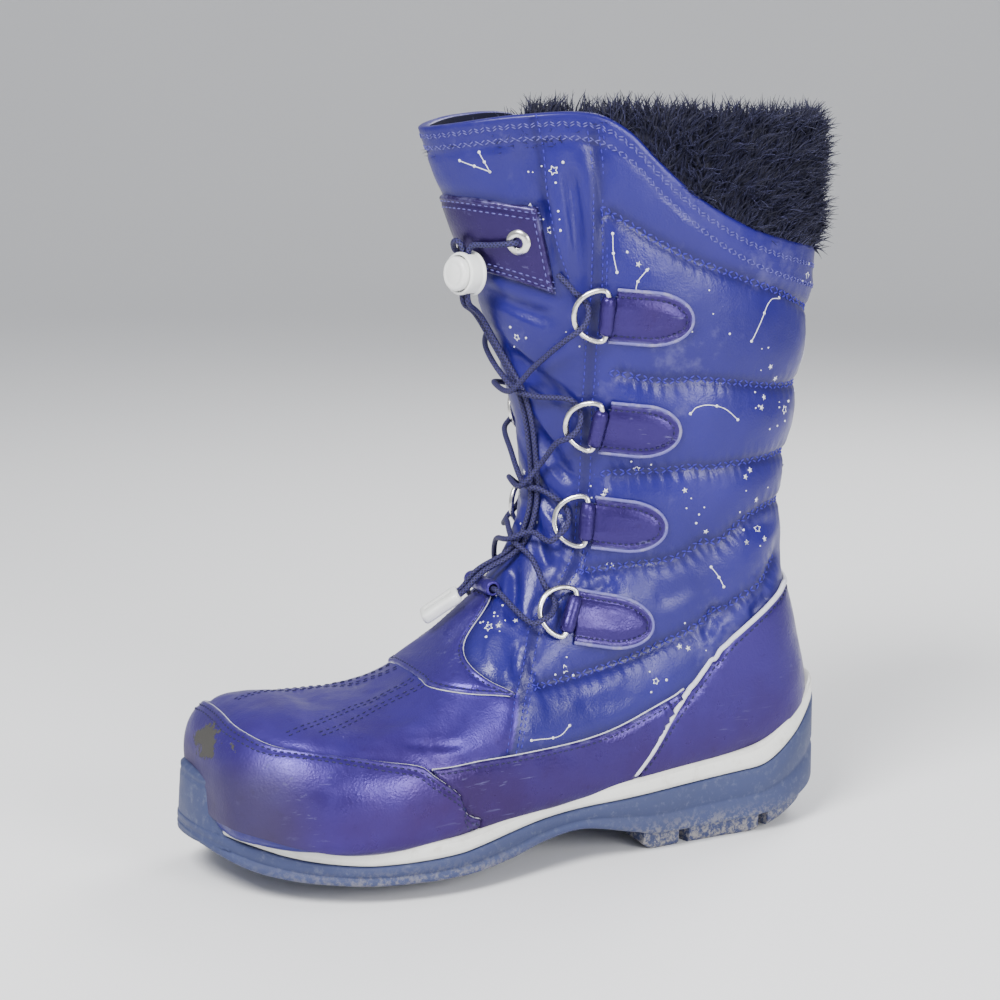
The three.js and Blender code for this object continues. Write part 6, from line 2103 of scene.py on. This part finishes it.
def make_binding_stitches(form):
    """Two zigzag rows along the strip that binds the collar."""
    rows = []
    ring = np.column_stack([form.at[-1], form.angles[-1]])
    for gap in (2.6, 6.4):
        line = [[t - gap / SECTION_RISE, a] for t, a in ring[::2]]
        rows.append(offset_row(*form.sample(line, 0.12)))
    both = [offset_row(p, u, o) for p, u in rows for o in (-0.45, 0.45)]
    stitches("collar_binding_stitches", both, "thread_pale", 2.4, 2.1, 0.55, slant=30)


# ------------------------ printed marks
PRINT_LINES = [
    [[19.40, 116], [19.1, 116.5], [18.85, 116]], [[19.0, 107], [18.8, 110], [18.61, 111]],
    [[20.25, 161], [20.17, 155], [20.10, 150]], [[20.10, 150], [20.25, 151], [20.40, 152]],
    [[17.16, 92], [17.41, 88], [17.51, 82], [17.46, 76]], [[18.51, 74], [19.0, 67], [19.1, 60]],
    [[14.47, 90], [14.4, 89], [14.27, 88]], [[8.93, 99], [9.38, 96], [9.63, 98]],
    [[18.2, 30], [18.7, 26], [19.0, 18]], [[16.2, 20], [16.5, 12], [16.4, 2]],
]
PRINT_STARS = [
    (19.25, 135), (20.2, 130), (19.55, 140), (16.81, 160), (16.16, 60), (18.41, 96), (15.31, 115),
    (9.28, 158), (10.08, 117), (11.27, 97), (17.9, 48), (19.4, 40), (17.2, 24), (19.6, 8), (12.3, 128),
]
CLUSTERS = 62
CLUSTER_SEED = 12
STAR_POINTS = 5


def star(size, waist, turn):
    """Corners of a flat star, its inner ones at a share of its size."""
    corner = np.arange(2 * STAR_POINTS)
    angle = corner * math.pi / STAR_POINTS + turn
    reach = size * np.where(corner % 2, waist, 1.0)
    return np.column_stack([reach * np.cos(angle), reach * np.sin(angle)])


def dot(radius, low, high, sides, place):
    """A flat round mark, its foot sunk in the skin."""
    return turned([(0, low), (radius, low), (radius, high), (0, high)], sides, place)


def scatter_marks(form, parts):
    """Loose clusters of dots and tiny stars over the quilted panels."""
    chance = np.random.default_rng(CLUSTER_SEED)
    rows, columns = form.at.shape
    hidden = np.maximum.reduce([form.layers[k] for k in ("vamp", "binding", "seam")])
    laid = 0
    while laid < CLUSTERS:
        i, j = chance.integers(70, rows - 8), chance.integers(0, columns - 1)
        if hidden[i, j] > 0.25 or form.at[i, j] < 9.6:
            continue
        laid += 1
        for _ in range(chance.integers(3, 8)):
            k, m = i + chance.integers(-6, 7), (j + chance.integers(-5, 6)) % (columns - 1)
            size, turn = chance.uniform(0.25, 0.62), chance.uniform(0, 6)
            if not 60 < k < rows - 6 or hidden[k, m] > 0.4:
                continue
            out = form.normal[k, m]
            place = standing(out, form.points[k, m])
            if size > 0.5:
                corners = 2 * STAR_POINTS
                ring = star(1.25, 0.42, turn)
                points = [[x, y, z] for z in (-0.4, 0.14) for x, y in ring]
                faces = [[n, (n + 1) % corners, corners + (n + 1) % corners, corners + n]
                         for n in range(corners)]
                faces += [list(range(corners))[::-1], list(range(corners, 2 * corners))]
                parts.append((put(points, place), faces))
            else:
                parts.append(dot(size, -0.4, 0.12, 8, place))


def make_prints(form):
    """Small outline stars, dots and short lines in pale ink, a hair above the skin."""
    parts = []

    def ribbon(line, up, half, closed=False):
        run = np.roll(line, -1, 0) - np.roll(line, 1, 0) if closed else np.gradient(line, axis=0)
        across = unit(np.cross(up, unit(run)))
        top = np.stack([line - across * half, line + across * half], 1) + up[:, None] * 0.06
        if closed:
            top = np.concatenate([top, top[:1]])
            up = np.concatenate([up, up[:1]])
        parts.append(closed_sheet(top, top - up[:, None] * 0.12))

    for side in (1, -1):
        for table in PRINT_LINES:
            line, up = form.row(flipped(table, side), 0.0, 0.05, 0.8)
            ribbon(line, up, 0.16)
            for k in (0, -1, len(line) // 2):
                parts.append(dot(0.6, -0.4, 0.1, 10, standing(up[k], line[k])))
        for k, (at, degrees) in enumerate(PRINT_STARS):
            (centre,), (out,) = form.sample(flipped([[at, degrees]], side), 0.05)
            across = unit(np.cross([0, 0, 1], out))
            rise = np.cross(out, across)
            turn = 0.7 * k
            corners = star(1.9 if k % 3 else 1.45, 0.45, turn)
            loop = centre + across * corners[:, :1] + rise * corners[:, 1:]
            loop = evenly(np.vstack([loop, loop[:1]]), 0.45)[:-1]
            ribbon(loop, np.broadcast_to(out, loop.shape), 0.15, closed=True)
            for j, radius in enumerate((0.55, 0.32, 0.42)):
                angle = turn + 2.1 * j
                spot = centre + across * 4.6 * math.cos(angle) + rise * 4.6 * math.sin(angle)
                parts.append(dot(radius, -0.35, 0.1, 10, basis(across, rise, out, spot)))
    scatter_marks(form, parts)
    settle(new_object("printed_marks", *join(parts), finish("ink")))


# ------------------------ stage
CAMERA_AT = (0.773, -0.3562, 0.2892)
CAMERA_AIM = (-0.001, -0.005, 0.138)
# the floor runs away from the camera for a while, then curves up into a backdrop
FLOOR_NEAR, FLOOR_FAR, FLOOR_HALF, SWEEP_RADIUS, BACKDROP_TOP = -5, 2.2, 5, 1.5, 5
FLOOR_AWAY, FLOOR_BESIDE = np.array([-0.866, 0.5, 0]), np.array([0.5, 0.866, 0])
LIGHTS_AIM = (0, 0, 0.12)
# name, place and size in metres, share of the key light's power
LIGHTS = (("key", (0.55, -0.75, 1.05), 0.55, 1.0), ("side", (1.25, 0.35, 0.55), 0.6, 0.5),
          ("back", (-0.5, 0.9, 1.0), 0.7, 0.45))


def aimed(made, place, target):
    """Stands a camera or a light at a place and turns it to a target."""
    made.location = place
    way = Vector(target) - made.location
    made.rotation_euler = way.to_track_quat("-Z", "Y").to_euler()
    bpy.context.scene.collection.objects.link(made)


def make_stage(settings):
    scene = bpy.context.scene
    camera = bpy.data.objects.new("camera", bpy.data.cameras.new("camera"))
    camera.data.lens, camera.data.sensor_width = settings.lens, 36
    camera.data.clip_start = 0.01
    aimed(camera, CAMERA_AT, CAMERA_AIM)
    scene.camera = camera

    floor = Finish("pale_floor", roughness=0.75, specular_ior_level=0.2)
    floor.set("Base Color", floor.blend(floor.noise(400, 2), (0.87, 0.87, 0.88), (0.90, 0.90, 0.90)))
    mesh = bpy.data.meshes.new("floor")
    curve = [(FLOOR_FAR + SWEEP_RADIUS * math.sin(a), SWEEP_RADIUS - SWEEP_RADIUS * math.cos(a))
             for a in np.radians(np.arange(6, 91, 6))]
    sweep = [(FLOOR_NEAR, 0), (FLOOR_FAR, 0), *curve, (FLOOR_FAR + SWEEP_RADIUS, BACKDROP_TOP)]
    points = [FLOOR_AWAY * run + FLOOR_BESIDE * half + [0, 0, rise]
              for run, rise in sweep for half in (FLOOR_HALF, -FLOOR_HALF)]
    mesh.from_pydata(points, [], [(2 * i, 2 * i + 2, 2 * i + 3, 2 * i + 1) for i in range(len(sweep) - 1)])
    mesh.shade_smooth()
    mesh.materials.append(floor.material)
    ground = bpy.data.objects.new("floor", mesh)
    scene.collection.objects.link(ground)

    world = bpy.data.worlds.new("pale_room")
    world.use_nodes = True
    background = world.node_tree.nodes["Background"]
    background.inputs["Color"].default_value = (0.93, 0.95, 1.0, 1)
    background.inputs["Strength"].default_value = settings.room
    scene.world = world
    for name, place, size, share in LIGHTS:
        light = bpy.data.objects.new(name, bpy.data.lights.new(name, "AREA"))
        light.data.shape, light.data.size, light.data.energy = "DISK", size, settings.key * share
        aimed(light, place, LIGHTS_AIM)


# ------------------------ settings, operators and panel
def colour(name, description, value):
    return FloatVectorProperty(name=name, description=description, default=value, subtype="COLOR",
                               min=0, max=1, size=3)


class BootColours(bpy.types.PropertyGroup):
    panel: colour("Quilted panels", "Satin of the quilted panels", (0.014, 0.009, 0.160))
    coated: colour("Coating", "Pearly coat of the vamp, toe cap and bands", (0.046, 0.027, 0.225))
    # plum is the painted reflection of the dark floor low on the coat, and also the tone of its grime and
    # of the darker coated pieces
    plum: colour("Plum", "Darker tone of the coat, low on the shoe", (0.030, 0.007, 0.048))
    worn: colour("Worn", "Rubbed places and scratches of the coat", (0.17, 0.16, 0.36))
    strip: colour("Strip", "Foam strip above the sole", (0.80, 0.80, 0.76))
    sole: colour("Sole", "Rubber of the sole and the toe bumper", (0.034, 0.045, 0.118))
    fur: colour("Plush", "Plush lining and collar roll", (0.005, 0.005, 0.017))
    cord: colour("Cord", "Lace and drawcord", (0.020, 0.017, 0.080))
    trim: colour("Piping", "Piping and the edge of the counter", (0.52, 0.52, 0.58))


class BootPlush(bpy.types.PropertyGroup):
    long: FloatProperty(name="Length", description="Length of a tuft, in millimetres",
                        default=8.5, min=2, max=14)
    thick: FloatProperty(name="Thickness", description="Width of a tuft's foot, in millimetres",
                         default=1.15, min=0.3, max=3)
    density: IntProperty(name="Density", description="Tufts to a square metre of the roll",
                         default=720000, min=1000, max=2000000)


class BootStage(bpy.types.PropertyGroup):
    lens: FloatProperty(name="Lens", description="Focal length of the camera, in millimetres",
                        default=80, min=20, max=200)
    key: FloatProperty(name="Key light", description="Power of the key light",
                       default=27, min=0, unit="POWER")
    room: FloatProperty(name="Room light", description="Strength of the pale room",
                        default=0.58, min=0, max=5)


FORMS = {}


def skin_form():
    if "skin" not in FORMS:
        FORMS["skin"] = Skin()
    return FORMS["skin"]


class BOOT_OT_stage(bpy.types.Operator):
    """Camera, pale floor, lights and every finish"""
    bl_idname = "boot.stage"
    bl_label = "Stage"

    def execute(self, context):
        make_stage(context.scene.boot_stage)
        make_finishes(context.scene.boot_colours)
        return {"FINISHED"}


class BOOT_OT_lock(bpy.types.Operator):
    """Cord lock with its plunger, and the moulded cord end"""
    bl_idname = "boot.lock"
    bl_label = "Cord lock and cord end"

    def execute(self, context):
        make_lock()
        make_cord_end()
        return {"FINISHED"}


class BOOT_OT_cords(bpy.types.Operator):
    """The two hanging ends of the drawcord"""
    bl_idname = "boot.cords"
    bl_label = "Hanging cords"

    def execute(self, context):
        make_cords()
        return {"FINISHED"}


class BOOT_OT_lace(bpy.types.Operator):
    """Lace through the rings and the tunnel"""
    bl_idname = "boot.lace"
    bl_label = "Lace"

    def execute(self, context):
        make_lace()
        return {"FINISHED"}


class BOOT_OT_upper(bpy.types.Operator):
    """Quilted shell with its plush-lined inside and the insole"""
    bl_idname = "boot.upper"
    bl_label = "Upper and insole"

    def execute(self, context):
        make_shell(skin_form())
        make_insole()
        return {"FINISHED"}


class BOOT_OT_stitching(bpy.types.Operator):
    """Quilting chains, seam stitches, vamp rows and the collar's binding"""
    bl_idname = "boot.stitching"
    bl_label = "Stitching"

    def execute(self, context):
        form = skin_form()
        make_quilting(form)
        make_vamp_stitches(form)
        make_binding_stitches(form)
        return {"FINISHED"}


class BOOT_OT_prints(bpy.types.Operator):
    """Printed stars, dots and lines"""
    bl_idname = "boot.prints"
    bl_label = "Printed marks"

    def execute(self, context):
        make_prints(skin_form())
        return {"FINISHED"}


class BOOT_OT_overlays(bpy.types.Operator):
    """Toe cap, heel counter, side bands, tongue guard and lace patch"""
    bl_idname = "boot.overlays"
    bl_label = "Coated panels"

    def execute(self, context):
        make_cap()
        make_counter()
        make_bands()
        make_guard()
        make_patch()
        return {"FINISHED"}


class BOOT_OT_hardware(bpy.types.Operator):
    """Eyelets, wire rings and the padded tabs that hold them"""
    bl_idname = "boot.hardware"
    bl_label = "Eyelets, rings and tabs"

    def execute(self, context):
        make_eyelets()
        make_rings()
        make_tabs()
        return {"FINISHED"}


class BOOT_OT_sole(bpy.types.Operator):
    """Rubber sole with its lugs and toe bumper, and the white strip"""
    bl_idname = "boot.sole"
    bl_label = "Sole"

    def execute(self, context):
        make_outsole()
        make_strip()
        return {"FINISHED"}


class BOOT_OT_plush(bpy.types.Operator):
    """Plush roll of the collar and its tufts"""
    bl_idname = "boot.plush"
    bl_label = "Plush collar"

    def execute(self, context):
        plush = context.scene.boot_plush
        make_plush(plush.long, plush.thick, plush.density)
        return {"FINISHED"}


OPERATORS = (BOOT_OT_stage, BOOT_OT_lock, BOOT_OT_cords, BOOT_OT_lace, BOOT_OT_upper, BOOT_OT_stitching,
             BOOT_OT_prints, BOOT_OT_overlays, BOOT_OT_hardware, BOOT_OT_sole, BOOT_OT_plush)


class BOOT_PT_pieces(bpy.types.Panel):
    """The boot's colours and sizes, and a button for each group of pieces"""
    bl_idname = "BOOT_PT_pieces"
    bl_label = "Snow boot"
    bl_space_type = "VIEW_3D"
    bl_region_type = "UI"
    bl_category = "Snow boot"

    def draw(self, context):
        for group in (context.scene.boot_colours, context.scene.boot_plush, context.scene.boot_stage):
            for name in group.__annotations__:
                self.layout.prop(group, name)
        for operator in OPERATORS:
            self.layout.operator(operator.bl_idname)


GROUPS = {"boot_colours": BootColours, "boot_plush": BootPlush, "boot_stage": BootStage}


def register():
    for made in (*GROUPS.values(), *OPERATORS, BOOT_PT_pieces):
        bpy.utils.register_class(made)
    for name, group in GROUPS.items():
        setattr(bpy.types.Scene, name, PointerProperty(type=group))


def unregister():
    for name in GROUPS:
        delattr(bpy.types.Scene, name)
    for made in reversed((*GROUPS.values(), *OPERATORS, BOOT_PT_pieces)):
        bpy.utils.unregister_class(made)


def main():
    register()
    for operator in OPERATORS:
        group, name = operator.bl_idname.split(".")
        getattr(getattr(bpy.ops, group), name)()


if __name__ == "__main__":
    main()
